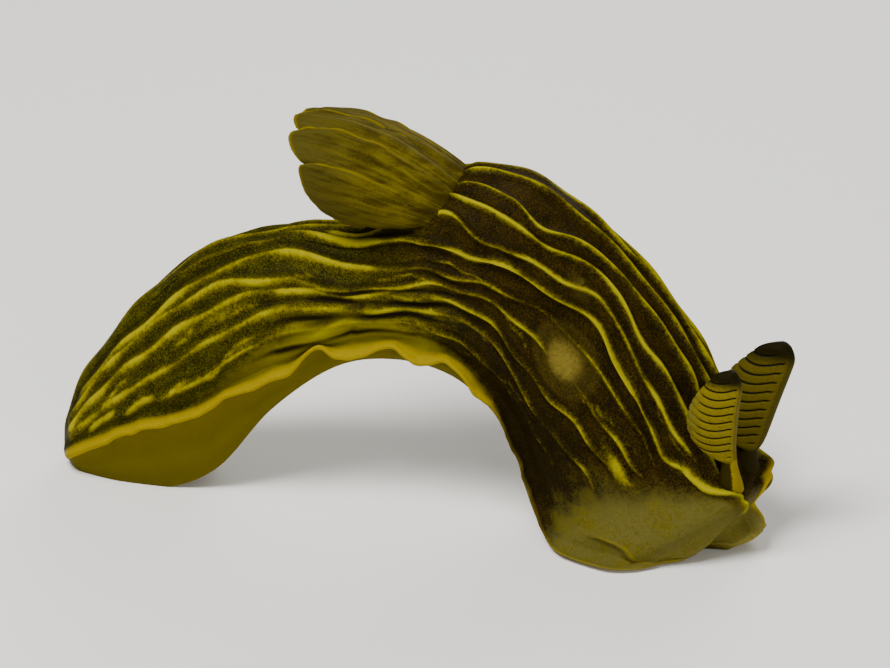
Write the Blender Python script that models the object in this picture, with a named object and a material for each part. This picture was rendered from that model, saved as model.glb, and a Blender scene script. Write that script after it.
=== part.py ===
"""Gymnodoris feyae, a ridged sea slug about 34 mm long, as a still, life-size model.

The slug arches over the ground from its tail to its head. X runs towards the head,
Y to the animal's left and Z up. Sizes are in millimetres until a mesh is made.
The body is one bent loft: each station has a point on the mid-back and one on the
mid-sole, and t runs round its section from the mid-back (0) over the right side to the
mid-sole (1) and back up the left side to the mid-back (2).
"""
import math

import bmesh
import bpy
import numpy as np

MM = 0.001
GAP = 0.3                   # between two nodes that touch
CENTRE = (0.354, 0.541)     # middle of the whole model seen from above

# Mid-back point and mid-sole point of each station, from the tail's tip to the veil
RAILS = np.array((
    (-16.80, -0.30, 0.70, -16.70, -0.30, 0.35),
    (-16.60, -0.20, 2.40, -15.90, -0.20, 0.00),
    (-15.30, 0.10, 5.30, -13.80, -0.20, 0.00),
    (-13.10, 0.40, 8.30, -11.60, 0.00, 0.00),
    (-10.30, 0.80, 11.00, -9.20, 0.30, 1.30),
    (-6.60, 1.30, 12.50, -6.60, 0.60, 4.60),
    (-2.60, 1.80, 12.90, -3.60, 1.00, 7.00),
    (1.00, 2.10, 15.70, -0.80, 1.30, 7.60),
    (4.20, 2.10, 16.10, 1.90, 1.40, 7.10),
    (7.20, 1.90, 14.65, 4.00, 1.40, 5.60),
    (10.25, 1.65, 11.90, 5.20, 1.30, 3.90),
    (12.65, 1.30, 8.80, 6.00, 1.10, 2.00),
    (14.15, 0.85, 6.00, 7.00, 0.80, 0.35),
    (15.15, 0.35, 4.10, 8.30, 0.50, 0.00),
    (16.10, -0.10, 3.10, 10.20, 0.10, 0.00),
    (15.70, -0.30, 2.00, 11.80, -0.20, 0.00),
    (14.70, -0.45, 1.00, 13.00, -0.40, 0.00),
    (14.00, -0.50, 0.35, 13.90, -0.50, 0.10),
))
LAST = len(RAILS) - 1

# Knots of (station, value): heading in degrees, then sizes in mm
HEADING = ((0, 8), (4, 9), (6, 7), (8, 0), (10, -11), (12, -14), (14, -11), (15, -14), (16, -20), (17, -22))
BACK_WIDTH = ((0, 0.1), (1, 0.25), (3, 0.35), (5, 0.5), (6, 1), (7, 2.4), (8, 2.75), (10, 2.6), (12, 2.3),
              (13, 2.2), (14, 1.9), (15, 1.5), (16, 0.9), (17, 0.1))
BACK_RISE = ((0, 0.05), (1, 0.2), (5, 0.2), (6, 0.5), (7, 2.2), (8, 2.8), (9, 2.7), (11, 1.9), (13, 0.9),
             (14, 0.45), (15, 0.5), (16, 0.4), (17, 0.05))
FLANK_WIDTH = ((0, 0.3), (1, 1), (2, 1.6), (4, 2.3), (6, 2.7), (7, 3), (9, 3.3), (12, 3.3), (13, 3.4),
               (14, 3.2), (15, 2.6), (16, 1.7), (17, 0.15))
GROOVE_WIDTH = ((0, 0.3), (1, 1.1), (2, 1.7), (4, 2.1), (6, 2.2), (7, 2.3), (9, 2.4), (11, 2.6), (12, 3.1),
                (13, 3.5), (14, 3.5), (15, 3), (16, 2), (17, 0.2))
GROOVE_HEIGHT = ((0, 0.35), (1, 1.65), (2, 2.9), (3, 4), (4, 3.8), (5, 2.4), (6, 1.5), (7, 1.35), (11, 1.3),
                 (13, 1.1), (14, 1), (15, 0.9), (16, 0.6), (17, 0.2))
MARGIN_WIDTH = ((0, 0.42), (1, 1.6), (2, 2.3), (3, 2.7), (5, 2.8), (7, 3), (11, 3), (12, 3.3), (13, 4.1),
                (14, 4.3), (15, 3.8), (16, 2.7), (17, 0.3))
MARGIN_HEIGHT = ((0, 0.22), (1, 1.3), (2, 2.6), (3, 3.7), (4, 3.5), (5, 2), (6, 1.05), (7, 0.9), (11, 0.9),
                 (12, 0.8), (13, 0.6), (15, 0.45), (17, 0.15))
SOLE_WIDTH = ((0, 0.3), (1, 1.1), (2, 1.6), (4, 1.9), (7, 2.1), (10, 2.1), (12, 2.5), (13, 2.8), (14, 2.7),
              (15, 2.3), (16, 1.6), (17, 0.15))
MARGIN_THICKNESS = 0.5
MARGIN_SHARE = 0.8                # the most of its height that the margin's thickness takes
STRIP_CLEAR = 0.18                # how far above the groove the flank ends
FLANK_BLUNT = 0.8                 # power of the flank's swelling, blunter below 1
SOLE_INSET = 0.12                 # share by which the sole's flat is narrower than the foot

# Where t meets the corners of the section
T_MANTLE, T_GROOVE, T_MARGIN, T_UNDER, T_CORNER = 0.26, 0.64, 0.76, 0.84, 0.90

# The foot's edge ripples where it hangs free under the arch
RIPPLE, RIPPLE_LENGTH, RIPPLE_PEAK, RIPPLE_MIDDLE, RIPPLE_REACH = 0.22, 1.22, 5.65, 6.8, 2.4

# The veil's left lobe lies further forward than the right one, with a notch between them.
# Each lobe grows over 1 mm from its inner side and fades again from its outer side.
LOBE_START, LOBE_RAMP, LOBE_HEIGHT = 15.0, 0.9, 1.6
LEFT_REACH, LEFT_INNER, LEFT_OUTER, LEFT_FADE = 1.75, -0.7, 2.0, 2.0
RIGHT_REACH, RIGHT_INNER, RIGHT_OUTER, RIGHT_FADE = 0.6, 0.5, 1.8, 1.0
NOTCH_SIDE, NOTCH_WIDTH, NOTCH_DEPTH = -0.45, 0.4, 0.6

# Ridges of one side as knots of (station, t), with the stretch on which each one stands
# proud and its height. They are listed from the mid-back down to the foot.
RIDGES = (
    (((0, 0), (17, 0)), (7.5, 12.8), 0.28),
    (((0, 0.05), (7, 0.05), (8.1, 0.09), (8.6, 0.11), (9.5, 0.06), (10.4, 0.05), (13, 0.07), (14, 0.035)),
     (7.4, 12.4), 0.28),
    (((0, 0.10), (7, 0.10), (8.1, 0.14), (8.6, 0.15), (9.7, 0.10), (10.7, 0.13), (13, 0.12), (14, 0.07)),
     (7.2, 12.6), 0.28),
    (((0, 0.15), (6.9, 0.15), (8.1, 0.215), (9.3, 0.18), (9.8, 0.15), (11.3, 0.20), (13, 0.17), (14, 0.10)),
     (6.8, 12.4), 0.26),
    (((0, 0.20), (6, 0.20), (6.9, 0.24), (7.7, 0.27), (8.4, 0.245), (9, 0.24), (9.8, 0.20), (10.4, 0.225),
      (11.4, 0.27), (12, 0.275), (13, 0.23), (14, 0.14)), (5.6, 14.2), 0.42),
    (((0, 0.25), (4.5, 0.26), (6, 0.265), (7, 0.29), (8, 0.30), (8.7, 0.28), (9.6, 0.242), (10.6, 0.262),
      (11.4, 0.288), (12, 0.292), (13, 0.27), (14, 0.2)), (3, 7), 0.2),
    (((0, 0.30), (3, 0.31), (5.2, 0.29), (6.4, 0.335), (7.6, 0.34), (8.7, 0.31), (9.6, 0.28), (10.6, 0.29),
      (13, 0.31)), (2.4, 12.4), 0.28),
    (((0, 0.35), (1.6, 0.33), (4.2, 0.33), (5.1, 0.36), (6.4, 0.41), (7.5, 0.38), (9.2, 0.36), (10.2, 0.36),
      (13, 0.34)), (1.2, 12.2), 0.28),
    (((0, 0.43), (2.6, 0.40), (4.7, 0.38), (5.8, 0.40), (7, 0.44), (8.1, 0.42), (9.7, 0.45), (11, 0.415),
      (13, 0.39)), (1.6, 12.3), 0.28),
    (((0, 0.52), (2.8, 0.49), (4.2, 0.46), (5.3, 0.44), (6.6, 0.49), (8.4, 0.47), (9.9, 0.52), (11.4, 0.47),
      (13, 0.46)), (1.8, 12), 0.26),
    (((0, 0.58), (3.5, 0.57), (5.3, 0.52), (7.8, 0.56), (9.9, 0.565), (11.5, 0.55), (13, 0.55)),
     (2.8, 11.4), 0.2),
)
CREST = (0.5, 6.2, 0.22)          # single ridge of the rear back: from, to, height
RIDGE_WIDTH = 0.27
RIDGE_FADE = 0.5                  # in stations
SWAY = 0.012                      # how far, in t, a left ridge strays from the right one
PORE = (9.9, 0.34, 0.7, 0.22)     # genital opening: station, t, radius and height of its swelling
PORE_SPACING, PORE_FOOT = 2.3, 1.6    # mm from station to station there, radii at which it ends
CREST_STEP, FLANK_END = 0.012, 0.02   # least t between two crests, and from the last to the groove

# Stations at which the body and foot are parted
TAIL_START, FOOT_START = 0.55, 0.0
CUTS = (3.0, 6.0, 9.0, 12.4, 15.0)
ROWS_PER_STATION = 4
VEIL_ROWS = (15.0, 15.6, 15.85, 16.1, 16.35, 16.6, 16.8, 17.0)
FOOT_COLUMNS = (0.70, T_MARGIN, 0.785, T_UNDER, T_CORNER, 0.95)
VEIL_COLUMNS, STRIP_COLUMNS = 12, 7
# Stations whose skin parts the gill and the rhinophores from the body
GILL_BED, RHINOPHORE_BED = (5.4, 8.6), (11.5, 14.6)

# Gill: leaves spread from an arc round the rear edge of the front back. Angles run round
# the arc and round the fan's rim, 0 in the middle and negative on the right.
GILL_ARC = math.radians(100)      # half of the arc that carries the leaves
GILL_STATION, GILL_STATION_DROP, GILL_T = 7.25, 0.36, 0.18
# Rim that the leaf tips reach, as knots of (angle, x, y, z)
FAN_RIM = ((-150, -4.6, 0.2, 13.6), (-110, -5.0, -0.8, 15.6), (-70, -5.3, -0.9, 17.2),
           (-10, -6.0, 1.2, 17.95), (20, -5.85, 2.2, 18.05), (40, -5.3, 3, 17.95), (65, -4.6, 3.8, 17.3),
           (110, -4.4, 3.6, 15.6), (150, -4.3, 2.5, 13.8))
FAN_MIDDLE = (1.45, 15.9)         # y and z of the fan's axis
FAN_CROWN = ((0, 0.5), (40, 0.4), (90, 0.25), (150, 0.3))    # arch above a straight run, by angle
# Leaves as (angle of the middle, half of the width in degrees, side on which the tip lies, length)
LEAVES = ((-100, 52, 0.6, 0.97), (-48, 43, 0.6, 1.0), (-4, 32, 0.5, 1.0), (26, 26, 0, 1.0),
          (54, 28, -0.3, 0.98), (88, 34, -0.5, 1.0), (124, 36, -0.6, 0.96))
LEAF_ROOT = math.radians(21)      # half of a leaf's share of the arc
LEAF_THICKNESS, LEAF_EDGE = 0.62, 0.5
LEAF_RIB, RIB_WIDTH = 0.12, 0.25      # height in mm, width as a share of half the leaf
LEAF_LIFT = 0.24                  # how far one side of a leaf lies over its neighbour
LEAF_ROUND, LEAF_SKEW = 0.12, 0.05    # shares by which a leaf is shorter at its sides, off its tip
LEAF_TAPER = 0.3                  # share by which it is narrower at its tip
ARCH_BLUNT = 0.8                  # power of the fan's arch, blunter below 1
ROOT_LIFT, OUTWARD_LEAN = -0.2, 0.2
LEAF_ROWS, LEAF_COLUMNS = 8, 7

# Rhinophores: base and tip of each stalk, degrees that it is turned, and how far its club
# reaches behind and before it, then sizes shared by the pair
RHINOPHORES = {
    "rhinophore_right": ((15.20, -1.35, 3.4), (15.55, -1.55, 9.65), 18, 2.5, 0.32),
    "rhinophore_left": ((15.50, 0.85, 3.4), (17.20, 1.60, 9.75), 10, 2.3, 0.6),
}
STALK_RADIUS = 0.42
CLUB_START, CLUB_MIDDLE, CLUB_THICKNESS = 0.235, 0.58, 1.15    # the first two as shares of the height
STALK_ROWS = (0.0, 0.10, 0.205)   # shares of the height
LAMELLAE, LAMELLA_DEPTH = 11, 0.14
LAMELLAE_END = 0.88               # share of the club up to which they reach
STALK_FRONT, TIP_TAPER = 0.8, 0.55    # shares of the radius kept before the stalk, and at the tip
CLUB_SIDES = 12
HEAD_STATION = 13.5               # station whose heading the pair follows

COLOURS = {                       # base colour, roughness
    "body": ((0.055, 0.045, 0.006), 0.4),
    "tail": ((0.075, 0.075, 0.010), 0.4),
    "head": ((0.12, 0.11, 0.03), 0.38),
    "veil": ((0.19, 0.19, 0.06), 0.35),
    "foot": ((0.60, 0.52, 0.03), 0.38),
    "gill": ((0.12, 0.10, 0.01), 0.42),
    "rhinophore": ((0.30, 0.26, 0.05), 0.42),
}


def smooth(x):
    """Smooth step from 0 to 1."""
    x = np.clip(x, 0, 1)
    return x * x * (3 - 2 * x)


def cubic(p, q, slope_p, slope_q, f):
    """Cubic from p to q with the given end slopes, f from 0 to 1."""
    return (p * (1 + 2 * f) * (1 - f) ** 2 + slope_p * f * (1 - f) ** 2
            + q * f * f * (3 - 2 * f) + slope_q * f * f * (f - 1))


def rails(u):
    """Mid-back and mid-sole points at stations u."""
    slope = np.gradient(RAILS, axis=0)
    i = np.clip(np.floor(u).astype(int), 0, LAST - 1)
    row = cubic(RAILS[i], RAILS[i + 1], slope[i], slope[i + 1], (u - i)[:, None])
    return row[:, :3], row[:, 3:]


def along(knots, at):
    """Smooth curve through knots of (station, value), with no overshoot between them."""
    x, y = np.array(knots, float).T
    rise = np.diff(y) / np.diff(x)
    slope = np.zeros(len(x))
    slope[0], slope[-1] = rise[0], rise[-1]
    turn = rise[1:] * rise[:-1]
    pair = np.where(turn > 0, rise[1:] + rise[:-1], 1)
    slope[1:-1] = np.where(turn > 0, 2 * turn / pair, 0)
    i = np.clip(np.searchsorted(x, at, side="right") - 1, 0, len(x) - 2)
    step = x[i + 1] - x[i]
    f = np.clip((at - x[i]) / step, 0, 1)
    return cubic(y[i], y[i + 1], slope[i] * step, slope[i + 1] * step, f)


def frames(u):
    """Mid-sole point, unit rise to the back, unit vector to the left, and height."""
    top, bottom = rails(u)
    rise = top - bottom
    height = np.linalg.norm(rise, axis=1)
    turn = np.radians(along(HEADING, u))
    side = np.stack((-np.sin(turn), np.cos(turn), 0 * turn), 1)
    return bottom, rise / height[:, None], side, height


def half_section(u, height, t):
    """Distance out from the middle and up from the sole, for t from 0 to 1."""
    sizes = (BACK_WIDTH, BACK_RISE, FLANK_WIDTH, GROOVE_WIDTH, GROOVE_HEIGHT, MARGIN_WIDTH, MARGIN_HEIGHT,
             SOLE_WIDTH)
    sizes = [along(knots, u)[:, None] for knots in sizes]
    back, dome, flank, groove, groove_up, margin, margin_up, sole = sizes
    shoulder = height[:, None] - dome
    free = np.exp(-((u - RIPPLE_MIDDLE) / RIPPLE_REACH) ** 4)
    ripple = RIPPLE * free * np.cos(2 * np.pi * (u - RIPPLE_PEAK) / RIPPLE_LENGTH)
    rim = margin_up + ripple[:, None]
    edge = np.minimum(MARGIN_THICKNESS, MARGIN_SHARE * margin_up)

    def span(start, end):
        return np.clip((t - start) / (end - start), 0, 1)

    f = span(0, T_MANTLE) * np.pi / 2
    pieces = [(back * np.sin(f), shoulder + dome * np.cos(f))]
    f = span(T_MANTLE, T_GROOVE)
    swell = (flank - (back + groove) / 2) * np.sin(np.pi * f) ** FLANK_BLUNT
    pieces.append((back + (groove - back) * f + swell, shoulder + (groove_up - shoulder) * f))
    f = span(T_GROOVE, T_MARGIN)
    pieces.append((groove + (margin - groove) * f, groove_up + (rim - groove_up) * (2 * f - f * f)))
    f = span(T_MARGIN, T_UNDER)
    pieces.append((margin + (sole - margin) * f, rim - edge * np.minimum(1, 3 * f) ** 0.5))
    f = span(T_UNDER, T_CORNER)
    pieces.append((sole * (1 - SOLE_INSET * f * f), (rim - edge) * (1 - f)))
    f = span(T_CORNER, 1)
    pieces.append(((1 - SOLE_INSET) * sole * (1 - f), 0 * f))
    where = [t <= T_MANTLE, t <= T_GROOVE, t <= T_MARGIN, t <= T_UNDER, t <= T_CORNER]
    out, up = zip(*pieces)
    return np.select(where, out[:-1], out[-1]), np.select(where, up[:-1], up[-1])


def ridge_line(number, u, left):
    """t of a ridge at stations u. The left side's ridges stray a little from the right's."""
    line = along(RIDGES[number][0], u)
    if left and number:
        line = line + SWAY * np.sin(1.7 * u + 2.1 * number)
    return line


def relief(u, t, left, scale):
    """Height of ridges and pore, t from 0 to 1, with scale in mm for each unit of t."""
    total = 0 * t
    for number, (_, (start, end), height) in enumerate(RIDGES):
        line = ridge_line(number, u, left)[:, None]
        stands = smooth((u - start) / RIDGE_FADE) * smooth((end - u) / RIDGE_FADE)
        away = (t - line) * scale / RIDGE_WIDTH
        total = np.maximum(total, height * stands[:, None] * np.exp(-away ** 2))
    start, end, height = CREST
    stands = smooth((u - start) / RIDGE_FADE) * smooth((end - u) / RIDGE_FADE)
    total = np.maximum(total, height * stands[:, None] * np.exp(-(t * scale / RIDGE_WIDTH) ** 2))
    if not left:
        station, line, radius, height = PORE
        away = np.hypot((t - line) * scale, (u[:, None] - station) * PORE_SPACING)
        total = np.maximum(total, height * smooth(PORE_FOOT - away / radius))
    return total


def to_space(u, out, up):
    """Points for distances out to the left and up from the sole, with the veil's lobes."""
    origin, rise, side, _ = frames(u)
    p = origin[:, None] + out[..., None] * side[:, None] + up[..., None] * rise[:, None]
    ahead = np.stack((side[:, 1], -side[:, 0], 0 * u), 1)
    front = smooth((u - LOBE_START) / LOBE_RAMP)[:, None] * np.exp(-(p[..., 2] / LOBE_HEIGHT) ** 2)
    reach = LEFT_REACH * smooth(out - LEFT_INNER) * (1 - smooth((out - LEFT_OUTER) / LEFT_FADE))
    right = smooth(-out - RIGHT_INNER) * (1 - smooth((-out - RIGHT_OUTER) / RIGHT_FADE))
    reach = reach + RIGHT_REACH * right
    reach = reach - NOTCH_DEPTH * np.exp(-((out - NOTCH_SIDE) / NOTCH_WIDTH) ** 2)
    p = p + (front * reach)[..., None] * ahead[:, None]
    p[..., 2] = np.maximum(p[..., 2], 0)
    return p


def skin(u, t, left, proud=0.0):
    """Points of one side's surface, t from 0 to 1 as stations by columns."""
    height = frames(u)[3]
    step = 0.002
    out, up = half_section(u, height, t)
    out_after, up_after = half_section(u, height, t + step)
    out_before, up_before = half_section(u, height, t - step)
    run, fall = out_after - out_before, up_after - up_before
    length = np.maximum(np.hypot(run, fall), 1e-6)
    lift = relief(u, t, left, length / (2 * step)) + proud
    out, up = out - lift * fall / length, up + lift * run / length
    out = np.where(t <= 0, 0, out)
    return to_space(u, out if left else -out, up)


def columns(u, left):
    """t of the body's columns: each ridge's crest, and the valley between it and the next."""
    crests = [0 * u]
    for number in range(1, len(RIDGES)):
        crests.append(np.maximum(ridge_line(number, u, left), crests[-1] + CREST_STEP))
    crests.append(0 * u + T_GROOVE - FLANK_END)
    valleys = [(a + b) / 2 for a, b in zip(crests, crests[1:])]
    order = [crests[0]]
    for valley, crest in zip(valleys, crests[1:]):
        order += [valley, crest]
    wall = frames(u)[3] - along(BACK_RISE, u) - along(GROOVE_HEIGHT, u)
    clear = T_GROOVE - (T_GROOVE - T_MANTLE) * np.clip(STRIP_CLEAR / np.maximum(wall, STRIP_CLEAR), 0, 0.9)
    return np.stack(order, 1) * np.minimum(1, clear / crests[-1])[:, None]


def strip(u, lift):
    """Points across the body at the groove, from right to left, lifted off the foot by lift."""
    across = np.linspace(-1, 1, STRIP_COLUMNS)[None, :] * along(GROOVE_WIDTH, u)[:, None]
    up = np.broadcast_to((along(GROOVE_HEIGHT, u) + lift)[:, None], across.shape)
    return to_space(u, across, up)


def trunk_rings(u, proud=0.0):
    """Closed rings of the body above the groove."""
    right = skin(u, columns(u, False), False, proud)
    left = skin(u, columns(u, True), True, proud)
    across = strip(u, GAP / 2 - proud)
    return np.concatenate((right, across, left[:, :0:-1]), 1)


def foot_rings(u):
    """Closed rings of the foot below the groove."""
    t = np.broadcast_to(FOOT_COLUMNS, (len(u), len(FOOT_COLUMNS)))
    right, left = skin(u, t, False), skin(u, t, True)
    middle = skin(u, np.ones((len(u), 1)), False)
    across = strip(u, -GAP / 2)
    return np.concatenate((across[:, ::-1], right, middle, left[:, ::-1]), 1)


def veil_rings(u):
    """Closed rings of the veil, whose section is whole."""
    marks = np.concatenate((np.linspace(0, T_GROOVE, VEIL_COLUMNS), FOOT_COLUMNS))
    t = np.broadcast_to(marks, (len(u), len(marks)))
    right, left = skin(u, t, False), skin(u, t, True)
    middle = skin(u, np.ones((len(u), 1)), False)
    return np.concatenate((right, middle, left[:, :0:-1]), 1)


def even_rows(start, end):
    """Stations of a length's rings."""
    return np.linspace(start, end, round((end - start) * ROWS_PER_STATION) + 1)


def stretch(u, rings):
    """Rings at stations u, drawn back half a gap from each cut."""
    points = rings(u)
    _, rise, side, _ = frames(u)
    normal = np.cross(rise, side)
    back_off = np.zeros(len(u))
    back_off[0] = -1 if u[0] > TAIL_START else 0
    back_off[-1] = 1 if u[-1] < LAST else 0
    points = points + (back_off * GAP / 2)[:, None, None] * normal[:, None]
    points[..., 2] = np.maximum(points[..., 2], 0)
    return points


def material(name):
    """Principled material of a part's plain colour."""
    colour, roughness = COLOURS[name]
    made = bpy.data.materials.get(name) or bpy.data.materials.new(name)
    made.use_nodes = True
    shader = made.node_tree.nodes["Principled BSDF"]
    shader.inputs["Base Color"].default_value = (*colour, 1)
    shader.inputs["Roughness"].default_value = roughness
    shader.inputs["Metallic"].default_value = 0
    return made


def add(name, points, faces, finish):
    """Named object from points in mm and faces, which are split into triangles."""
    place = (np.asarray(points).reshape(-1, 3) - (*CENTRE, 0)) * MM
    mesh = bpy.data.meshes.new(name)
    mesh.from_pydata(place.tolist(), [], faces)
    split = bmesh.new()
    split.from_mesh(mesh)
    bmesh.ops.triangulate(split, faces=split.faces)
    split.to_mesh(mesh)
    split.free()
    mesh.materials.append(material(finish))
    mesh.shade_smooth()
    made = bpy.data.objects.new(name, mesh)
    bpy.context.scene.collection.objects.link(made)
    return made


def ring_faces(rows, sides):
    """Triangles between rows of closed rings, and one flat face over each end."""
    faces = []
    for i in range(rows - 1):
        for j in range(sides):
            k = (j + 1) % sides
            a, b, c, d = i * sides + j, i * sides + k, (i + 1) * sides + k, (i + 1) * sides + j
            faces += [(a, b, c), (a, c, d)]
    faces.append(tuple(range(sides - 1, -1, -1)))
    faces.append(tuple(range((rows - 1) * sides, rows * sides)))
    return faces


def loft(name, rings, finish):
    """Closed body through rings of points."""
    rows, sides = rings.shape[:2]
    return add(name, rings, ring_faces(rows, sides), finish)


def sheet(name, top, bottom, finish):
    """Closed vane from two grids of points, split into triangles alike on both faces."""
    rows, sides = top.shape[:2]
    under = rows * sides
    faces = []
    for i in range(rows - 1):
        for j in range(sides - 1):
            a, b, c, d = i * sides + j, i * sides + j + 1, (i + 1) * sides + j + 1, (i + 1) * sides + j
            faces += [(a, b, c), (a, c, d)]
            faces += [(under + a, under + c, under + b), (under + a, under + d, under + c)]
    rim = list(range(sides)) + [i * sides + sides - 1 for i in range(1, rows)]
    rim += [(rows - 1) * sides + j for j in range(sides - 2, -1, -1)]
    rim += [i * sides for i in range(rows - 2, 0, -1)]
    for a, b in zip(rim, rim[1:] + rim[:1]):
        faces += [(b, a, under + a), (b, under + a, under + b)]
    return add(name, np.concatenate((top.reshape(-1, 3), bottom.reshape(-1, 3))), faces, finish)


def combine(base, operation, others):
    """Joins or cuts base with other closed objects, which are then removed."""
    group = bpy.data.collections.new("pieces")
    for piece in others:
        group.objects.link(piece)
    cut = base.modifiers.new("combine", "BOOLEAN")
    cut.operation, cut.operand_type, cut.collection, cut.solver = operation, "COLLECTION", group, "MANIFOLD"
    bpy.context.view_layer.update()
    done = bpy.data.meshes.new_from_object(base.evaluated_get(bpy.context.evaluated_depsgraph_get()))
    base.modifiers.clear()
    base.data = done
    for piece in others:
        bpy.data.objects.remove(piece)
    bpy.data.collections.remove(group)
    keep_largest(base)


def keep_largest(made):
    """Keeps only the largest closed surface of an object's mesh."""
    mesh = made.data
    leader = list(range(len(mesh.vertices)))

    def find(i):
        while leader[i] != i:
            leader[i] = leader[leader[i]]
            i = leader[i]
        return i

    for edge in mesh.edges:
        a, b = (find(i) for i in edge.vertices)
        leader[a] = b
    islands = {}
    for face in mesh.polygons:
        islands.setdefault(find(face.vertices[0]), []).append(tuple(face.vertices))
    largest = max(islands.values(), key=len)
    used = sorted({i for face in largest for i in face})
    number = {old: new for new, old in enumerate(used)}
    points = [tuple(mesh.vertices[i].co) for i in used]
    kept = bpy.data.meshes.new(made.name)
    kept.from_pydata(points, [], [tuple(number[i] for i in face) for face in largest])
    kept.materials.append(mesh.materials[0])
    kept.shade_smooth()
    made.data = kept


def carrier(start, end):
    """The body between two stations, swollen by the gap, which cuts what stands on it."""
    return loft("carrier", trunk_rings(even_rows(start, end), GAP), "body")


def gill_root(angle, lift):
    """Point of the arc that carries the leaves, 0 in front, negative on the right."""
    angle = np.atleast_1d(angle)
    u = GILL_STATION - GILL_STATION_DROP * (1 - np.cos(angle))
    t = GILL_T * np.abs(np.sin(angle))[:, None]
    right, left = skin(u, t, False, lift)[:, 0], skin(u, t, True, lift)[:, 0]
    return np.where((angle < 0)[:, None], right, left)


def gill_leaf(number):
    """One broad leaf: a sheet that widens from the arc to a rounded tip on the fan's rim."""
    middle_angle, half_width, skew, length = LEAVES[number]
    share = 2 * number / (len(LEAVES) - 1) - 1
    s = np.linspace(0, 1, LEAF_ROWS)[:, None]
    v = np.linspace(-1, 1, LEAF_COLUMNS)[None, :]
    reach = s * length * (1 - s * (LEAF_ROUND * v ** 4 + LEAF_SKEW * (v - skew) ** 2))
    angle = middle_angle + v * half_width * (1 - LEAF_TAPER * s ** 5)
    root = gill_root(share * (GILL_ARC - LEAF_ROOT) + v[0] * LEAF_ROOT, ROOT_LIFT)
    rim = np.array(FAN_RIM)
    fan = np.stack([along(rim[:, (0, axis)], angle) for axis in (1, 2, 3)], -1)
    across, up = fan[..., 1] - FAN_MIDDLE[0], fan[..., 2] - FAN_MIDDLE[1]
    outward = np.stack((OUTWARD_LEAN + 0 * angle, across, up), -1)
    outward /= np.linalg.norm(outward, axis=-1)[..., None]
    middle = root * (1 - reach[..., None]) + fan * reach[..., None]
    arch = along(FAN_CROWN, abs(angle)) * np.sin(np.pi * np.clip(reach, 0, 1)) ** ARCH_BLUNT
    lift = arch + LEAF_LIFT * v * smooth(2 * s) + LEAF_RIB * np.exp(-(v / RIB_WIDTH) ** 2)
    middle = middle + lift[..., None] * outward
    thick = LEAF_THICKNESS + (LEAF_EDGE - LEAF_THICKNESS) * np.maximum(s, np.abs(v))
    half = (thick / 2)[..., None] * outward
    return sheet(f"leaf_{number}", middle + half, middle - half, "gill")


def gill():
    """Leaves fused at their roots into one body, seated on the back."""
    fan, *others = [gill_leaf(number) for number in range(len(LEAVES))]
    fan.name = "gill"
    combine(fan, "UNION", others)
    combine(fan, "DIFFERENCE", [carrier(*GILL_BED)])


def rhinophore(name):
    """Stalk and flat club, with its lamellae as rings raised across it."""
    base, tip, turn, behind, before = RHINOPHORES[name]
    base, tip = np.array(base), np.array(tip)
    rows = 2 * LAMELLAE + 1
    s = np.concatenate((STALK_ROWS, CLUB_START + (1 - CLUB_START) * np.linspace(0, 1, rows)))
    club = np.clip((s - CLUB_START) / (1 - CLUB_START), 0, 1)
    reach = np.where(s < CLUB_MIDDLE, CLUB_MIDDLE - CLUB_START, 1 - CLUB_MIDDLE)
    shape = np.sqrt(np.clip(1 - ((s - CLUB_MIDDLE) / reach) ** 2, 0, 1))
    fold = np.where(np.arange(len(s)) % 2 == 0, 0.0, LAMELLA_DEPTH) * (club > 0) * (club < LAMELLAE_END)
    back = np.maximum(STALK_RADIUS, behind * shape) - fold
    front = np.maximum(STALK_FRONT * STALK_RADIUS, before * shape ** 0.5)
    thick = np.maximum(STALK_RADIUS, CLUB_THICKNESS / 2 * shape) - fold
    taper = np.where(club < 1, 1.0, TIP_TAPER)
    heading = math.radians(along(HEADING, np.array([HEAD_STATION]))[0] + turn)
    ahead = np.array((math.cos(heading), math.sin(heading), 0.0))
    side = np.array((-math.sin(heading), math.cos(heading), 0.0))
    angle = np.linspace(0, 2 * np.pi, CLUB_SIDES, endpoint=False)[None, :]
    along_x = np.where(np.cos(angle) > 0, (front * taper)[:, None], (back * taper)[:, None]) * np.cos(angle)
    along_y = (thick * taper)[:, None] * np.sin(angle)
    middle = base + (tip - base) * s[:, None]
    rings = middle[:, None] + along_x[..., None] * ahead + along_y[..., None] * side
    made = loft(name, rings, "rhinophore")
    combine(made, "DIFFERENCE", [carrier(*RHINOPHORE_BED)])


def build():
    """Every named part of the slug."""
    names = ("tail", "body_rear", "body_middle", "body_front", "head")
    starts = (TAIL_START,) + CUTS[:-1]
    finishes = ("tail", "tail", "body", "body", "head")
    for name, start, end, finish in zip(names, starts, CUTS, finishes):
        loft(name, stretch(even_rows(start, end), trunk_rings), finish)
    foot_names = ("foot_tail", "foot_rear", "foot_middle", "foot_front", "foot_head")
    for name, start, end in zip(foot_names, (FOOT_START,) + CUTS[:-1], CUTS):
        loft(name, stretch(even_rows(start, end), foot_rings), "foot")
    loft("oral_veil", stretch(np.array(VEIL_ROWS), veil_rings), "veil")
    gill()
    for name in RHINOPHORES:
        rhinophore(name)


for old in list(bpy.data.objects):
    bpy.data.objects.remove(old)
build()
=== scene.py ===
"""A ridged sea slug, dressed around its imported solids: skin, gill leaves and rhinophores.

Sizes are in millimetres until a mesh is made. The skin is one bent loft: each station has
a point on the mid-back and one on the mid-sole, and t runs down one side of its section
from the mid-back (0) over the mantle's edge to the mid-sole (1).
"""
import math

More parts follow.
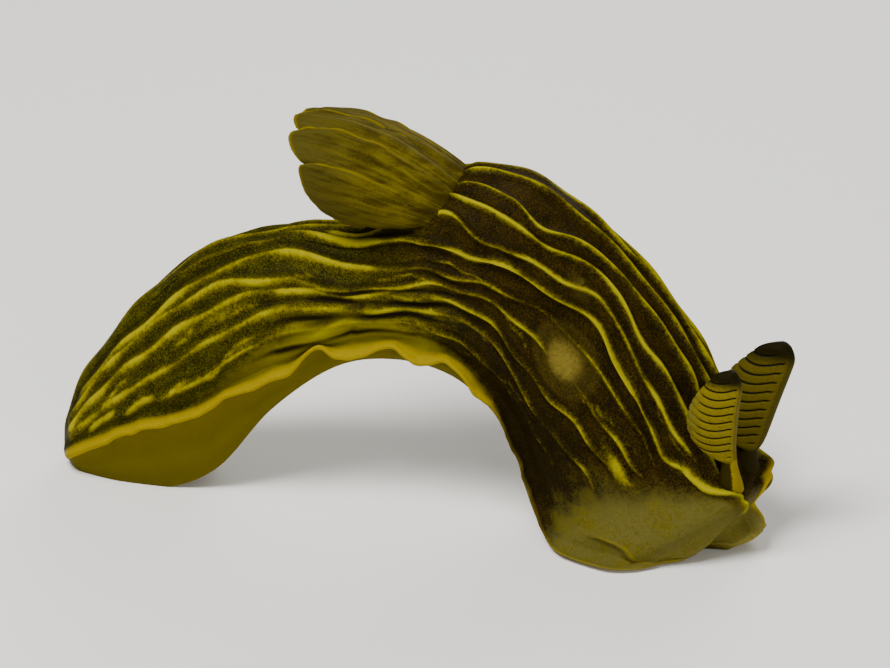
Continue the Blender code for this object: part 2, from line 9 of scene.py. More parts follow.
import bpy
import numpy as np
from bpy.props import FloatProperty, FloatVectorProperty, IntProperty, PointerProperty
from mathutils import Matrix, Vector


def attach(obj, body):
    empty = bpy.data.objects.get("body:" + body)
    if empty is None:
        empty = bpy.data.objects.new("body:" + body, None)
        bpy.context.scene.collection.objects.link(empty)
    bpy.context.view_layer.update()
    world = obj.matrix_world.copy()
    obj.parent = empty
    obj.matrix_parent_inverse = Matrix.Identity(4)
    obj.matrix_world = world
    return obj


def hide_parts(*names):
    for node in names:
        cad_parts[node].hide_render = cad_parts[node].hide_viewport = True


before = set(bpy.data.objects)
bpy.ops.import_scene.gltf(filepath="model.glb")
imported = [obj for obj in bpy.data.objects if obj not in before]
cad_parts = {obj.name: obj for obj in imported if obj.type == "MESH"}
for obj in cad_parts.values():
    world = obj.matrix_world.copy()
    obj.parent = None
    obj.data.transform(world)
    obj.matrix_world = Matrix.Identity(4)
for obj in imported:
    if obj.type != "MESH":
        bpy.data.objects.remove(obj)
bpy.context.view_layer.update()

bl_info = {
    "name": "Ridged sea slug",
    "version": (1, 0, 0),
    "blender": (4, 5, 0),
    "location": "3D View > Sidebar > Sea slug",
    "description": "Skin, gill leaves and rhinophores of a ridged sea slug",
    "category": "Object",
}

MM = 0.001
CENTRE = (0.354, 0.541)     # middle of the whole model seen from above

# Mid-back point and mid-sole point of each station, from the tail's tip to the veil
RAILS = np.array((
    (-16.8, -0.3, 0.7, -16.7, -0.3, 0.35),
    (-16.6, -0.2, 2.4, -15.9, -0.2, 0),
    (-15.3, 0.1, 5.3, -13.8, -0.2, 0),
    (-13.1, 0.4, 8.3, -11.6, 0, 0),
    (-10.3, 0.8, 11, -9.2, 0.3, 1.3),
    (-6.6, 1.3, 12.5, -6.6, 0.6, 4.6),
    (-2.6, 1.8, 12.9, -3.6, 1, 7),
    (1, 2.1, 15.7, -0.8, 1.3, 7.6),
    (4.2, 2.1, 16.1, 1.9, 1.4, 7.1),
    (7.2, 1.9, 14.65, 4, 1.4, 5.6),
    (10.25, 1.65, 11.9, 5.2, 1.3, 3.9),
    (12.65, 1.3, 8.8, 6, 1.1, 2),
    (14.15, 0.85, 6, 7, 0.8, 0.35),
    (15.15, 0.35, 4.1, 8.3, 0.5, 0),
    (16.1, -0.1, 3.1, 10.2, 0.1, 0),
    (15.7, -0.3, 2, 11.8, -0.2, 0),
    (14.7, -0.45, 1, 13, -0.4, 0),
    (14, -0.5, 0.35, 13.9, -0.5, 0.1),
))
LAST = len(RAILS) - 1

# Knots of (station, value): heading in degrees, then sizes in mm
HEADING = ((0, 8), (4, 9), (6, 7), (8, 0), (10, -11), (12, -14), (14, -11), (15, -14), (16, -20), (17, -22))
BACK_WIDTH = ((0, 0.1), (1, 0.25), (3, 0.35), (5, 0.5), (6, 1), (7, 2.4), (8, 2.75), (10, 2.6), (12, 2.3),
              (13, 2.2), (14, 1.9), (15, 1.5), (16, 0.9), (17, 0.1))
BACK_RISE = ((0, 0.05), (1, 0.2), (5, 0.2), (6, 0.5), (7, 2.2), (8, 2.8), (9, 2.7), (11, 1.9), (13, 0.9),
             (14, 0.45), (15, 0.5), (16, 0.4), (17, 0.05))
FLANK_WIDTH = ((0, 0.3), (1, 1), (2, 1.6), (4, 2.3), (6, 2.7), (7, 3), (9, 3.3), (12, 3.3), (13, 3.4),
               (14, 3.2), (15, 2.6), (16, 1.7), (17, 0.15))
GROOVE_WIDTH = ((0, 0.3), (1, 1.1), (2, 1.7), (4, 2.1), (6, 2.2), (7, 2.3), (9, 2.4), (11, 2.6), (12, 3.1),
                (13, 3.5), (14, 3.5), (15, 3), (16, 2), (17, 0.2))
GROOVE_HEIGHT = ((0, 0.35), (1, 1.65), (2, 2.9), (3, 4), (4, 3.8), (5, 2.4), (6, 1.5), (7, 1.35), (11, 1.3),
                 (13, 1.1), (14, 1), (15, 0.9), (16, 0.6), (17, 0.2))
MARGIN_WIDTH = ((0, 0.42), (1, 1.6), (2, 2.3), (3, 2.7), (5, 2.8), (7, 3), (11, 3), (12, 3.3), (13, 4.1),
                (14, 4.3), (15, 3.8), (16, 2.7), (17, 0.3))
MARGIN_HEIGHT = ((0, 0.22), (1, 1.3), (2, 2.6), (3, 3.7), (4, 3.5), (5, 2), (6, 1.05), (7, 0.9), (11, 0.9),
                 (12, 0.8), (13, 0.6), (15, 0.45), (17, 0.15))
SOLE_WIDTH = ((0, 0.3), (1, 1.1), (2, 1.6), (4, 1.9), (7, 2.1), (10, 2.1), (12, 2.5), (13, 2.8), (14, 2.7),
              (15, 2.3), (16, 1.6), (17, 0.15))
SECTION = (BACK_WIDTH, BACK_RISE, FLANK_WIDTH, GROOVE_WIDTH, GROOVE_HEIGHT, MARGIN_WIDTH, MARGIN_HEIGHT,
           SOLE_WIDTH)
MARGIN_THICKNESS = 0.32
MARGIN_BLUNT = 3                  # how much sooner than evenly the margin gets its thickness
MARGIN_SHARE = 0.8                # the most of its height that the margin's thickness takes
FLANK_BLUNT = 0.8                 # power of the flank's swelling, blunter below 1
SOLE_INSET = 0.12                 # share by which the sole's flat is narrower than the foot

# Where t meets the corners of the section
T_MANTLE, T_GROOVE, T_MARGIN, T_UNDER, T_CORNER = 0.26, 0.64, 0.76, 0.84, 0.9

# The foot's edge ripples where it hangs free under the arch, with finer frills all along,
# which are twisted by a second sine and also reach outwards, a little shifted. A few flaps
# turn up, as (station, half length, height).
RIPPLE, RIPPLE_LENGTH, RIPPLE_PEAK, RIPPLE_MIDDLE, RIPPLE_REACH = 0.22, 1.22, 5.65, 6.8, 2.4
FRILL, FRILL_COUNT, FRILL_FROM, FRILL_TO, FRILL_OUT = 0.05, 1.1, 1.2, 12, 1.2
FRILL_TWIST, FRILL_TWIST_RATE, FRILL_FINE, FRILL_FINE_RATE = 2.2, 2.3, 0.3, 21
FLAPS = ((5.65, 0.24, 0.6), (5, 0.15, 0.12), (4.3, 0.18, 0.14), (6.9, 0.22, 0.15), (7.9, 0.2, 0.18))

# The veil's left lobe lies further forward than the right one, with a notch between them.
# They grow over a run of stations and stand out most at the height of their belly. Each one
# grows over 1 mm from its inner side and fades again from its outer side.
LOBE_START, LOBE_RAMP, LOBE_BELLY, LOBE_HEIGHT = 15.0, 0.9, 0.9, 1.35
LEFT_REACH, LEFT_INNER, LEFT_OUTER, LEFT_FADE = 1.75, -0.7, 2.0, 2.0
RIGHT_REACH, RIGHT_INNER, RIGHT_OUTER, RIGHT_FADE = 0.6, 0.5, 1.8, 1.0
NOTCH_SIDE, NOTCH_WIDTH, NOTCH_DEPTH, NOTCH_HEIGHT = -0.45, 0.4, 0.6, 0.75

# Ridges of one side as knots of (station, t), with the stretch on which each one stands
# proud, its height, its half width and how bright it is. The first eleven run along the
# body from the mid-back down to the foot, and the rest are their short branches.
RIDGES = (
    (((0, 0), (17, 0)), (7.1, 12.8), 0.28, 0.22, 0.7),
    (((0, 0.05), (7, 0.05), (8.1, 0.09), (8.6, 0.11), (9.5, 0.06), (10.4, 0.05), (13, 0.07), (14, 0.035)),
      (7.1, 12.9), 0.28, 0.21, 0.75),
    (((0, 0.1), (7, 0.1), (8.1, 0.14), (8.6, 0.15), (9.7, 0.1), (10.7, 0.13), (13, 0.12), (14, 0.07)),
      (6.9, 13.1), 0.3, 0.23, 0.85),
    (((0, 0.15), (6.9, 0.15), (8.1, 0.215), (9.3, 0.18), (9.8, 0.15), (11.3, 0.2), (13, 0.17), (14, 0.1)),
      (6.5, 12.6), 0.26, 0.25, 0.75),
    (((0, 0.06), (4.2, 0.07), (5.2, 0.14), (6, 0.2), (6.9, 0.24), (7.7, 0.27), (8.4, 0.245), (9, 0.24),
      (9.8, 0.2), (10.4, 0.225), (11.4, 0.27), (12, 0.275), (13, 0.22), (14, 0.13), (15, 0.12)),
      (4.7, 14.5), 0.42, 0.24, 1),
    (((0, 0.25), (4.5, 0.26), (6, 0.265), (7, 0.29), (8, 0.3), (8.7, 0.28), (9.6, 0.242), (10.6, 0.262),
      (11.4, 0.288), (12, 0.292), (13, 0.27), (14, 0.2)), (3, 5.6), 0.18, 0.22, 0.42),
    (((0, 0.3), (3, 0.31), (5.2, 0.29), (6.4, 0.335), (7.6, 0.34), (8.7, 0.31), (9.6, 0.28), (10.6, 0.29),
      (13, 0.31)), (1.4, 12.4), 0.28, 0.27, 0.8),
    (((0, 0.35), (1.6, 0.33), (4.2, 0.33), (5.1, 0.36), (6.4, 0.41), (7.5, 0.38), (9.2, 0.36), (10.2, 0.36),
      (13, 0.34)), (0.9, 12.2), 0.26, 0.27, 0.72),
    (((0, 0.43), (2.6, 0.4), (4.7, 0.38), (5.8, 0.4), (7, 0.44), (8.1, 0.42), (9.7, 0.45), (11, 0.415),
      (13, 0.39)), (0.9, 12.3), 0.26, 0.28, 0.8),
    (((0, 0.52), (2.8, 0.49), (4.2, 0.46), (5.3, 0.44), (6.6, 0.49), (8.4, 0.47), (9.9, 0.52), (11.4, 0.47),
      (13, 0.46)), (0.9, 12), 0.24, 0.28, 0.72),
    (((0, 0.58), (3.5, 0.57), (5.3, 0.52), (7.8, 0.56), (9.9, 0.565), (11.5, 0.55), (13, 0.55)), (3, 11.4),
      0.2, 0.24, 0.7),
    (((3.2, 0.59), (3.6, 0.55), (4.1, 0.57), (4.4, 0.52)), (3.2, 4.7), 0.1, 0.26, 0.8),
    (((4.3, 0.52), (4.7, 0.495), (5.4, 0.48)), (4.3, 5.7), 0.1, 0.26, 0.7),
    (((5.5, 0.56), (5.9, 0.52), (6.3, 0.51)), (5.4, 6.5), 0.14, 0.34, 0.8),
    (((3.2, 0.48), (3.7, 0.42), (4.1, 0.4)), (3.2, 4.1), 0.08, 0.2, 0.6),
    (((4.3, 0.34), (4.9, 0.37), (5.6, 0.33)), (4.2, 5.7), 0.1, 0.18, 0.5),
    (((5, 0.27), (5.6, 0.3), (6, 0.33)), (4.8, 6.2), 0.12, 0.2, 0.6),
    (((5.5, 0.06), (6.2, 0.11), (6.9, 0.16)), (5.4, 7), 0.14, 0.2, 0.8),
    (((1.5, 0.6), (2, 0.56), (2.5, 0.55)), (1.5, 2.5), 0.1, 0.26, 0.75),
    (((2.3, 0.62), (2.7, 0.58), (3.3, 0.55)), (2.3, 3.3), 0.12, 0.3, 0.8),
    (((1.9, 0.51), (2.4, 0.46), (2.9, 0.44)), (1.9, 2.9), 0.08, 0.2, 0.6),
    (((3.9, 0.43), (4.4, 0.405), (5.1, 0.42)), (3.8, 5.2), 0.14, 0.26, 0.75),
    (((7.7, 0.5), (8.2, 0.455)), (7.6, 8.25), 0.2, 0.3, 0.8),
    (((5, 0.6), (5.6, 0.575), (6.2, 0.585)), (4.9, 6.3), 0.22, 0.5, 0.72),
    (((6, 0.6), (6.5, 0.575), (7.3, 0.59)), (6, 7.4), 0.2, 0.48, 0.66),
    (((6.2, 0.53), (6.8, 0.525), (7.5, 0.535)), (6.2, 7.6), 0.14, 0.4, 0.6),
    (((6.4, 0.465), (7, 0.46), (7.7, 0.49)), (6.3, 7.8), 0.14, 0.26, 0.6),
    (((6.3, 0.375), (6.9, 0.36), (7.6, 0.385), (8.3, 0.36)), (6.2, 8.4), 0.12, 0.2, 0.5),
    (((6.5, 0.3), (7.3, 0.305), (8.2, 0.325), (8.9, 0.335)), (6.4, 8.9), 0.12, 0.2, 0.45),
    (((8.6, 0.37), (9.1, 0.39), (9.4, 0.41)), (8.5, 9.5), 0.1, 0.2, 0.5),
    (((8.3, 0.47), (8.7, 0.5), (9, 0.515)), (8.2, 9.2), 0.12, 0.2, 0.5),
    (((7.8, 0.6), (8.2, 0.595), (9.3, 0.55), (10, 0.54), (10.6, 0.51), (11.6, 0.5)), (7.8, 11.4), 0.14, 0.2,
      0.6),
    (((10, 0.4), (10.6, 0.36), (11.1, 0.335), (11.8, 0.33)), (10.1, 11.9), 0.12, 0.22, 0.5),
    (((9, 0.165), (10, 0.14), (10.8, 0.17), (11.5, 0.22), (12.2, 0.22)), (8.9, 12.6), 0.12, 0.18, 0.35),
)
LONG_RIDGES = 11
# Share of its brightness that each long ridge keeps on the front
FRONT_BRIGHT = (1.1, 1.15, 1.15, 1.1, 1, 1, 0.65, 0.95, 0.8, 0.95, 0.75)
# Stations over which a ridge rises and dies away, and by how much a long one runs on
RIDGE_RISE, RIDGE_FADE, RIDGE_END, RIDGE_EXTRA = 0.3, 0.5, 1.2, 0.4
FRONT_WIDTH, CREST_WIDTH = 0.52, 0.62     # shares of its width: on the front, and its bright crest
REAR_ABOVE, REAR_BELOW = 0.6, 1.5         # shares of its width on the two sides of a rear ridge
HALO, HALO_WIDTH = 0.38, 2.2              # share and width of the faint glow beside a crest
CREVICE_SHADOW_PLACE, CREVICE_SHADOW_WIDTH = 1.5, 0.5     # painted shadow in the crevice above a ridge, in shares of its width
CREVICE_SHADOW_HEIGHT = 0.14              # height from which a branch has such a line too
# The ridge that ends as a thick cord: number, swelling, where it swells, and how it rises
CORD, CORD_SWELL, CORD_SWELLS, CORD_RISE = 4, 0.9, (11, 2), 1.2
# Ridge of the rear back, as (from, to, height, half width, brightness), and its scallops:
# height, length in stations and reach in t
CREST = (0.5, 6.2, 0.2, 0.24, 0.62)
SCALLOP, SCALLOP_LENGTH, SCALLOP_REACH = 0.13, 1.3, 0.12
# Station where the rear ends, how much further on that is low down, the change, and where in t
REAR_TO, REAR_LOW, REAR_OVER, REAR_DROP = 7.6, 1.3, 2.6, (0.32, 0.16)
CORNER_FILL, CORNER_WIDTH = 0.15, 0.3     # what rounds the corner along the rear mantle's edge

# Sines along the body: size, rate by the station, shift from ridge to ridge and twist. They
# are the knobs and dapples of the ridges, and in t how far a left ridge strays from the right.
KNOBS, DAPPLES, LEFT_SWAY = (0.16, 6.1, 1.9), (0.3, 2.7, 2.9, 5.1), (0.012, 1.7, 2.1)
# How far, in t, every ridge wavers: size, rate, change of the rate by ridge, and shift
WAVERS = ((0.0035, 3.9, 0.31, 2.4), (0.00175, 9.1, -0.37, 1))

# Soft folds inside the bend: stations and t that they reach, the change at their ends, the
# long ridges they lie between and how bright they are. Then the creases between them, dented
# and darkened with painted shade: place, half width, how much wider each next one is, depth,
# how much shows, and their sines.
FOLD_REACH, FOLD_OVER, FOLD_FROM, FOLD_TO = (4.3, 8.3), 0.9, (0.36, 0.05), (0.68, -0.03)
FOLDED, FOLD_FILL = (7, 8, 9, 10), 0.52
CREASE_PLACE, CREASE_HALF, CREASE_WIDER, CREASE_DEPTH, CREASE_SHOWN = 0.55, 0.085, 0.3, 0.1, 0.7
CREASE_COMES, CREASE_WAVES = (0.3, 4.3, 1.7, 2.2), (0.06, 3.1, 2.1)

# Genital opening: station, t, radius and height of its swelling. In radii from its middle:
# where the ridges and their colour start, where the swelling ends, pale discs as (strength,
# edge, softness), and pale rings as (strength, distance, half width).
PORE, PORE_RIDGES, PORE_YELLOW, PORE_SWELL = (9.9, 0.34, 0.7, 0.22), 0.4, 0.6, 1.6
PORE_DISCS, PORE_RINGS = ((0.5, 1.25, -0.55), (0.14, 2.2, -1)), ((0.4, 0, 0.7), (0.1, 1.85, 0.2))
SPOT_RUN = 2.3                    # mm of flank for each station beside a round spot
SMUDGE = (9.5, 0.165, 0.3, 0.35)  # pale spot on the back: station, t, radius and strength
# Yellow patch on the cheek: station, t, half length in stations, half width and brightness
PATCH = (11.75, 0.39, 0.55, 0.3, 0.85)

# Head: a hollow round the rhinophores as (station, depth, half width in t, half length), and
# faint rings round one of them as (station, t), radii, brightness, half width and top in t
HOLLOW = (13.95, 0.5, 0.13, 0.14)
POCKET, POCKET_RADII, POCKET_LINE, POCKET_TOP = (13.55, 0.13), (1, 1.25, 1.5), (0.3, 0.06), (0.02, 0.05)
# Edge of the veil over the foot, as knots of (station, t). The skin bulges above it and drops
# below it, less so on the left. Its glow is a strength, a place above the edge and a half width.
VEIL_EDGE = ((12.4, 0.6), (13.2, 0.55), (15, 0.67), (15.7, 0.735), (17, 0.755))
VEIL_STEP, VEIL_LEFT, VEIL_BULGE, VEIL_DROP, VEIL_FROM = 0.26, 0.5, 1, 0.24, 12.6
VEIL_GLOW, VEIL_GLOW_UP, VEIL_GLOW_WIDTH = 0.4, 0.1, 0.2
# Raised flap of the left cheek, as knots of (station, t)
FLAP = ((13.2, 0.2), (13.9, 0.13), (14.5, 0.09), (15, 0.1), (15.5, 0.2), (16, 0.36), (16.4, 0.4),
        (16.9, 0.36))
FLAP_STRETCH, FLAP_HEIGHT, FLAP_WIDTH = (13.3, 17), 0.22, 0.2
MOUTH = (16.2, 0.16, 0.94, 0.22)  # slit under the notch: station, half length, t and depth

# Marks that colour the skin. A pair is where a mark starts, in stations or t, and over how
# much it grows, or falls to 0 there where the second number is negative. First the station
# to which the smooth grey cheek reaches back, as knots of (t, station).
CHEEK = ((0, 14.3), (0.1, 14.2), (0.2, 13.8), (0.3, 12.9), (0.4, 12.2), (0.46, 11.8), (0.6, 11.8),
         (0.66, 12.2), (1, 12.4))
CHEEK_FADE = 2.3                  # in stations
DIM, DIM_LEFT = (8.3, 1.6), 0.25  # where the foot's bright edge is dimmed with painted shade, and what is left of it
LIT, LIT_SHARE = (12, 1.2), 0.6   # where that painted shade lifts again round the head, and by how much
# Bright edge of the foot: its top in t, softness, how much lower it starts where painted shade dims it, its
# end
RIM_TOP, RIM_OVER, RIM_THIN, RIM_FOOT = 0.67, 0.04, 0.07, (0.845, -0.02)
# Yellow that spreads up from the edge, more so in the bend: t, spread, what the bend adds to
# each of the two and to the strength, then the bend's station and half length
NEAR_TOP, NEAR_OVER, NEAR_HIGHER, NEAR_SOFTER, NEAR_STRONGER = 0.6, 0.15, 0.2, 0.02, 0.25
BEND, BEND_HALF = 5.9, 1.7
LOBE_LIGHT, RIGHT_LOBE_LIGHT = (14.6, 1.2), 0.35    # lobes made paler with painted light, and the share of that on the right
# Painted shade on the low flank of the front, partly also its own darker colour: down the side, and from
# and to along the body
SHADE_DOWN, SHADE_FROM, SHADE_TO = (0.36, 0.25), (7.6, 2), (12.6, -1.5)
SOLE_FROM = (0.83, 0.02)

# Mesh of the skin: step of t for its slope, steps in which lengths down it are summed, how
# much closer its columns lie at a crest than in a valley, the least t between two crests, the
# t left above the groove, the foot's columns, how evenly the rows lie, and the steps for that
NORMAL_STEP, ARC_STEPS, CROWDING, CREST_GAP, GROOVE_GAP = 0.01, 400, 1.5, 0.012, 0.02
FOOT_COLUMNS = (T_GROOVE, 0.665, 0.7, 0.73, T_MARGIN, 0.775, 0.79, 0.81, T_UNDER, 0.87, T_CORNER,
                0.93, 0.96, 1)
ROW_EVENNESS, ROW_STEPS = 0.35, 2000

# Gill: leaves spread from an arc round the rear edge of the front back. Angles run round
# the arc and round the fan's rim, 0 in the middle and negative on the right.
GILL_ARC = math.radians(100)      # half of the arc that carries the leaves
# Station of the arc's front, how far back it runs, and how far down the sides in t
GILL_STATION, GILL_STATION_DROP, GILL_T = 7.25, 0.36, 0.18
# Rim that the leaf tips reach, as knots of (angle, x, y, z)
FAN_RIM = np.array((
    (-150, -4.6, 0.2, 13.6), (-110, -5, -0.8, 15.6), (-70, -5.3, -0.9, 17.2), (-10, -6, 1.2, 17.95),
    (20, -5.85, 2.2, 18.05), (40, -5.3, 3, 17.95), (65, -4.6, 3.8, 17.3), (110, -4.4, 3.6, 15.6),
    (150, -4.3, 2.5, 13.8)))
FAN_MIDDLE = (1.45, 15.9)         # y and z of the fan's axis
# Arch of a leaf above a straight run, by angle, and the power that blunts it
FAN_CROWN, CROWN_BLUNT = ((0, 0.65), (40, 0.6), (90, 0.5), (150, 0.4)), 0.8
# Leaves as (angle of the middle, half width in degrees, side on which the tip lies, length)
LEAVES = ((-100, 52, 0.6, 0.97), (-48, 43, 0.6, 1), (-4, 32, 0.5, 1), (26, 26, 0, 1),
          (54, 28, -0.3, 0.98), (88, 34, -0.5, 1), (124, 36, -0.6, 0.96))
LEAF_ROOT = math.radians(21)      # half of a leaf's share of the arc
LEAF_GROWN = 0.5                  # share of its length at which a leaf has its full relief
LEAF_THICKNESS, LEAF_EDGE, LEAF_RIB, RIB_WIDTH = 0.3, 0.09, 0.05, 0.3
LEAF_LIFT = 0.24                  # how far one side of a leaf lies over its neighbour
LEAF_ROUND, LEAF_SKEW = 0.12, 0.05    # shares by which a leaf is shorter at its sides, off its tip
LEAF_TAPER = 0.3                  # share by which it is narrower at its tip
# Ruffles of a leaf's sides: height, count, shift from leaf to leaf and slant. Its fine folds:
# height, rate across, shift and slant. The pleats of its inner face: depth, count, slant, how
# fast they start from the sides, and how strong their mark is.
LEAF_RUFFLE, RUFFLES, RUFFLE_SHIFT, RUFFLE_SLANT = 0.05, 3.5, 2.2, 1.5
LEAF_FOLDS = ((0.03, 9, 1.3, 2), (0.015, 23, 0, 5))
PLEAT, PLEATS, PLEAT_SLANT, PLEAT_START, PLEAT_MARK = 0.05, 16, 2.5, 3, 8
ROOT_LIFT, OUTWARD_LEAN = -0.2, 0.2
# Marks of a leaf: its edge across and along, its root, darkened with painted shade where it meets the
# body, the side that lies under its neighbour, darkened with painted shadow, the veins as (rate, shift,
# spread) with their half width, fade and share, and the shift of its streaks
EDGE_SIDE, EDGE_TIP, ROOT_OVER, UNDER_SIDE, UNDER_OVER = (0.9, 0.08), (0.96, 0.04), 0.25, (0.2, -1.1), 1 / 3
VEINS, FINE_VEINS, VEIN_WIDTH, VEIN_FADE, FINE_SHARE = (7, 1.1, 1.5), (21, 2.3, 2.5), 0.3, 1.5, 0.45
STREAK_SHIFT = 2.6
LEAF_MARKS = ("edge", "tip", "vein", "root", "under", "across")
# Anal papilla: station, radius and height, shares of the height that it is sunk and leans back,
# share by which it narrows, bluntness of its top, and its rings
PAPILLA, PAPILLA_SUNK, PAPILLA_LEAN, PAPILLA_TAPER = (6.75, 0.34, 0.75), 0.3, 0.35, 0.35
PAPILLA_BLUNT, PAPILLA_TOP, PAPILLA_LEAST, PAPILLA_RINGS = 6, 1.02, 0.03, 24

# Rhinophores: base and tip of each stalk, degrees that it is turned, and how far its club
# reaches behind and before it, the share of the height at which the club starts and how much
# darker it is, partly with painted shade and partly in its own colour, then sizes shared by the pair
RHINOPHORES = {
    "rhinophore_right": ((15.25, -1, 3.4), (15.5, -1.55, 9.65), 18, 1.95, 0.36, 0.235, 0),
    "rhinophore_left": ((15.5, 0.85, 3.4), (17.2, 1.6, 9.75), 10, 2.3, 0.7, 0.17, 0.55),
}
HEAD_STATION = 13.5               # station whose heading the pair follows
STALK_RADIUS, STALK_FLARE, STALK_TAPER, STALK_FRONT = 0.42, 0.5, 0.15, 0.8
CLUB_MIDDLE, CLUB_THICKNESS = 0.58, 1.15    # the first as a share of the height
# Bend of the stalk's axis, how far its tip turns back and from where up the club, power of the
# club's upper outline, and the share of the club over which its end is rounded, and to what
CLUB_BOW, TIP_BACK, TIP_FROM, CLUB_POINT, CLUB_ROUND, CLUB_END = 0.3, 0.36, 0.76, 0.54, 0.06, 0.01
# Lamellae: count, depth, sag and slope of the grooves, their half width, and where they show:
# up the club, down it, and round from the front
LAMELLAE, LAMELLA_DEPTH, LAMELLA_SAG, LAMELLA_SLOPE, LAMELLA_LINE = 12, 0.07, 0.75, 0.6, 0.13
LAMELLA_FROM, LAMELLA_TO, LAMELLA_SIDE = (0.05, 0.05), (0.93, -0.05), (-0.6, 0.4)
# Marks: where a line ends on the leaf, the dark tip and front, the stalk darkened with painted shade of the
# hollow round it, and the stalk's patch
LINE_END, DARK_TIP, DARK_FRONT, DARK_STALK = (0.92, -0.25), (0.72, 0.25), (-0.3, -0.5), (0.06, -0.06)
PATCH_TOP, PATCH_SIDE = (0.1, -0.1), (0.3, -0.9)

# The photograph: azimuth and elevation in degrees, distance, the point that it looks at and
# the width that it takes in there
VIEW_AZIMUTH, VIEW_ELEVATION, VIEW_DISTANCE, VIEW_WIDTH = 15.0, 27.0, 230.0, 890 / 22
VIEW_AIM, VIEW_ASIDE = (0.0, 0.0, 8.72), 1.5
SENSOR, CLIP_START = 36.0, 10.0
# Lamps as (name, place, size, watts), the sky's colour and strength, the floor's half side in
# metres and the share of its colour that its darker clouds keep
LAMPS = (("key", (-60, -90, 210), 90, 1.0), ("fill", (170, -170, 70), 160, 0.35),
         ("back", (30, 190, 130), 120, 0.35))
SKY, SKY_STRENGTH, FLOOR_REACH, FLOOR_DAPPLE = (1.0, 0.99, 0.97, 1), 0.3, 3.0, 0.96


def smooth(x):
    """Smooth step from 0 to 1."""
    x = np.clip(x, 0, 1)
    return x * x * (3 - 2 * x)


def ramp(x, start, over):
    """Smooth rise from 0 at start to 1 a length further on. A negative one falls to 0 at start."""
    return smooth((x - start) / over)


def bump(distance, width):
    """Bell curve of a distance, with the given half width."""
    return np.exp(-(distance / width) ** 2)


def sway(u, number, size, rate, shift, twist=0):
    """Sine of the station, shifted from ridge to ridge and twisted by another sine."""
    return size * np.sin(rate * u + shift * number + np.sin(twist * u))


def cubic(p, q, slope_p, slope_q, f):
    """Cubic from p to q with the given end slopes, f from 0 to 1."""
    return (p * (1 + 2 * f) * (1 - f) ** 2 + slope_p * f * (1 - f) ** 2
            + q * f * f * (3 - 2 * f) + slope_q * f * f * (f - 1))


def unit(vectors):
    """The same directions with a length of 1."""
    return vectors / np.linalg.norm(vectors, axis=-1)[..., None]


def rails(u):
    """Mid-back and mid-sole points at stations u."""
    slope = np.gradient(RAILS, axis=0)
    i = np.clip(np.floor(u).astype(int), 0, LAST - 1)
    row = cubic(RAILS[i], RAILS[i + 1], slope[i], slope[i + 1], (u - i)[:, None])
    return row[:, :3], row[:, 3:]


def along(knots, at):
    """Smooth curve through knots of (place, value), with no overshoot between them."""
    x, y = np.array(knots, float).T
    rise = np.diff(y) / np.diff(x)
    slope = np.zeros(len(x))
    slope[0], slope[-1] = rise[0], rise[-1]
    turn = rise[1:] * rise[:-1]
    pair = np.where(turn > 0, rise[1:] + rise[:-1], 1)
    slope[1:-1] = np.where(turn > 0, 2 * turn / pair, 0)
    i = np.clip(np.searchsorted(x, at, side="right") - 1, 0, len(x) - 2)
    step = x[i + 1] - x[i]
    f = np.clip((at - x[i]) / step, 0, 1)
    return cubic(y[i], y[i + 1], slope[i] * step, slope[i + 1] * step, f)


def frames(u):
    """Mid-sole point, unit rise to the back, unit vector to the left, and height."""
    top, bottom = rails(u)
    rise = top - bottom
    turn = np.radians(along(HEADING, u))
    side = np.stack((-np.sin(turn), np.cos(turn), 0 * turn), 1)
    return bottom, unit(rise), side, np.linalg.norm(rise, axis=1)


def half_section(u, height, t):
    """Distance out from the middle and up from the sole: a dome, a flank, a spreading foot."""
    row = u[:, None]
    back, dome, flank, groove, groove_up, margin, margin_up, sole = [along(knots, row) for knots in SECTION]
    shoulder = height[:, None] - dome
    free = np.exp(-((row - RIPPLE_MIDDLE) / RIPPLE_REACH) ** 4)
    ripple = RIPPLE * free * np.cos(2 * np.pi * (row - RIPPLE_PEAK) / RIPPLE_LENGTH)
    turn, fine = 2 * np.pi * FRILL_COUNT * row, FRILL_FINE * np.sin(FRILL_FINE_RATE * row)
    frilled = FRILL * ramp(row, FRILL_FROM, 1) * ramp(row, FRILL_TO, -1)
    frill = frilled * (np.sin(turn + FRILL_TWIST * np.sin(FRILL_TWIST_RATE * row)) + fine)
    flap = sum(size * bump(row - station, half) for station, half, size in FLAPS)
    rim = margin_up + (ripple + frill + flap)
    margin = margin + frilled * np.sin(turn + FRILL_OUT)
    edge = np.minimum(MARGIN_THICKNESS, MARGIN_SHARE * margin_up)

    def span(start, end):
        return np.clip((t - start) / (end - start), 0, 1)

    f = span(0, T_MANTLE) * np.pi / 2
    pieces = [(back * np.sin(f), shoulder + dome * np.cos(f))]
    f = span(T_MANTLE, T_GROOVE)
    swell = (flank - (back + groove) / 2) * np.sin(np.pi * f) ** FLANK_BLUNT
    pieces.append((back + (groove - back) * f + swell, shoulder + (groove_up - shoulder) * f))
    f = span(T_GROOVE, T_MARGIN)
    pieces.append((groove + (margin - groove) * f, groove_up + (rim - groove_up) * (2 * f - f * f)))
    f = span(T_MARGIN, T_UNDER)
    pieces.append((margin + (sole - margin) * f, rim - edge * np.minimum(1, MARGIN_BLUNT * f) ** 0.5))
    f = span(T_UNDER, T_CORNER)
    pieces.append((sole * (1 - SOLE_INSET * f * f), (rim - edge) * (1 - f)))
    f = span(T_CORNER, 1)
    pieces.append(((1 - SOLE_INSET) * sole * (1 - f), 0 * f))
    where = [t <= T_MANTLE, t <= T_GROOVE, t <= T_MARGIN, t <= T_UNDER, t <= T_CORNER]
    out, up = zip(*pieces)
    return np.select(where, out[:-1], out[-1]), np.select(where, up[:-1], up[-1])


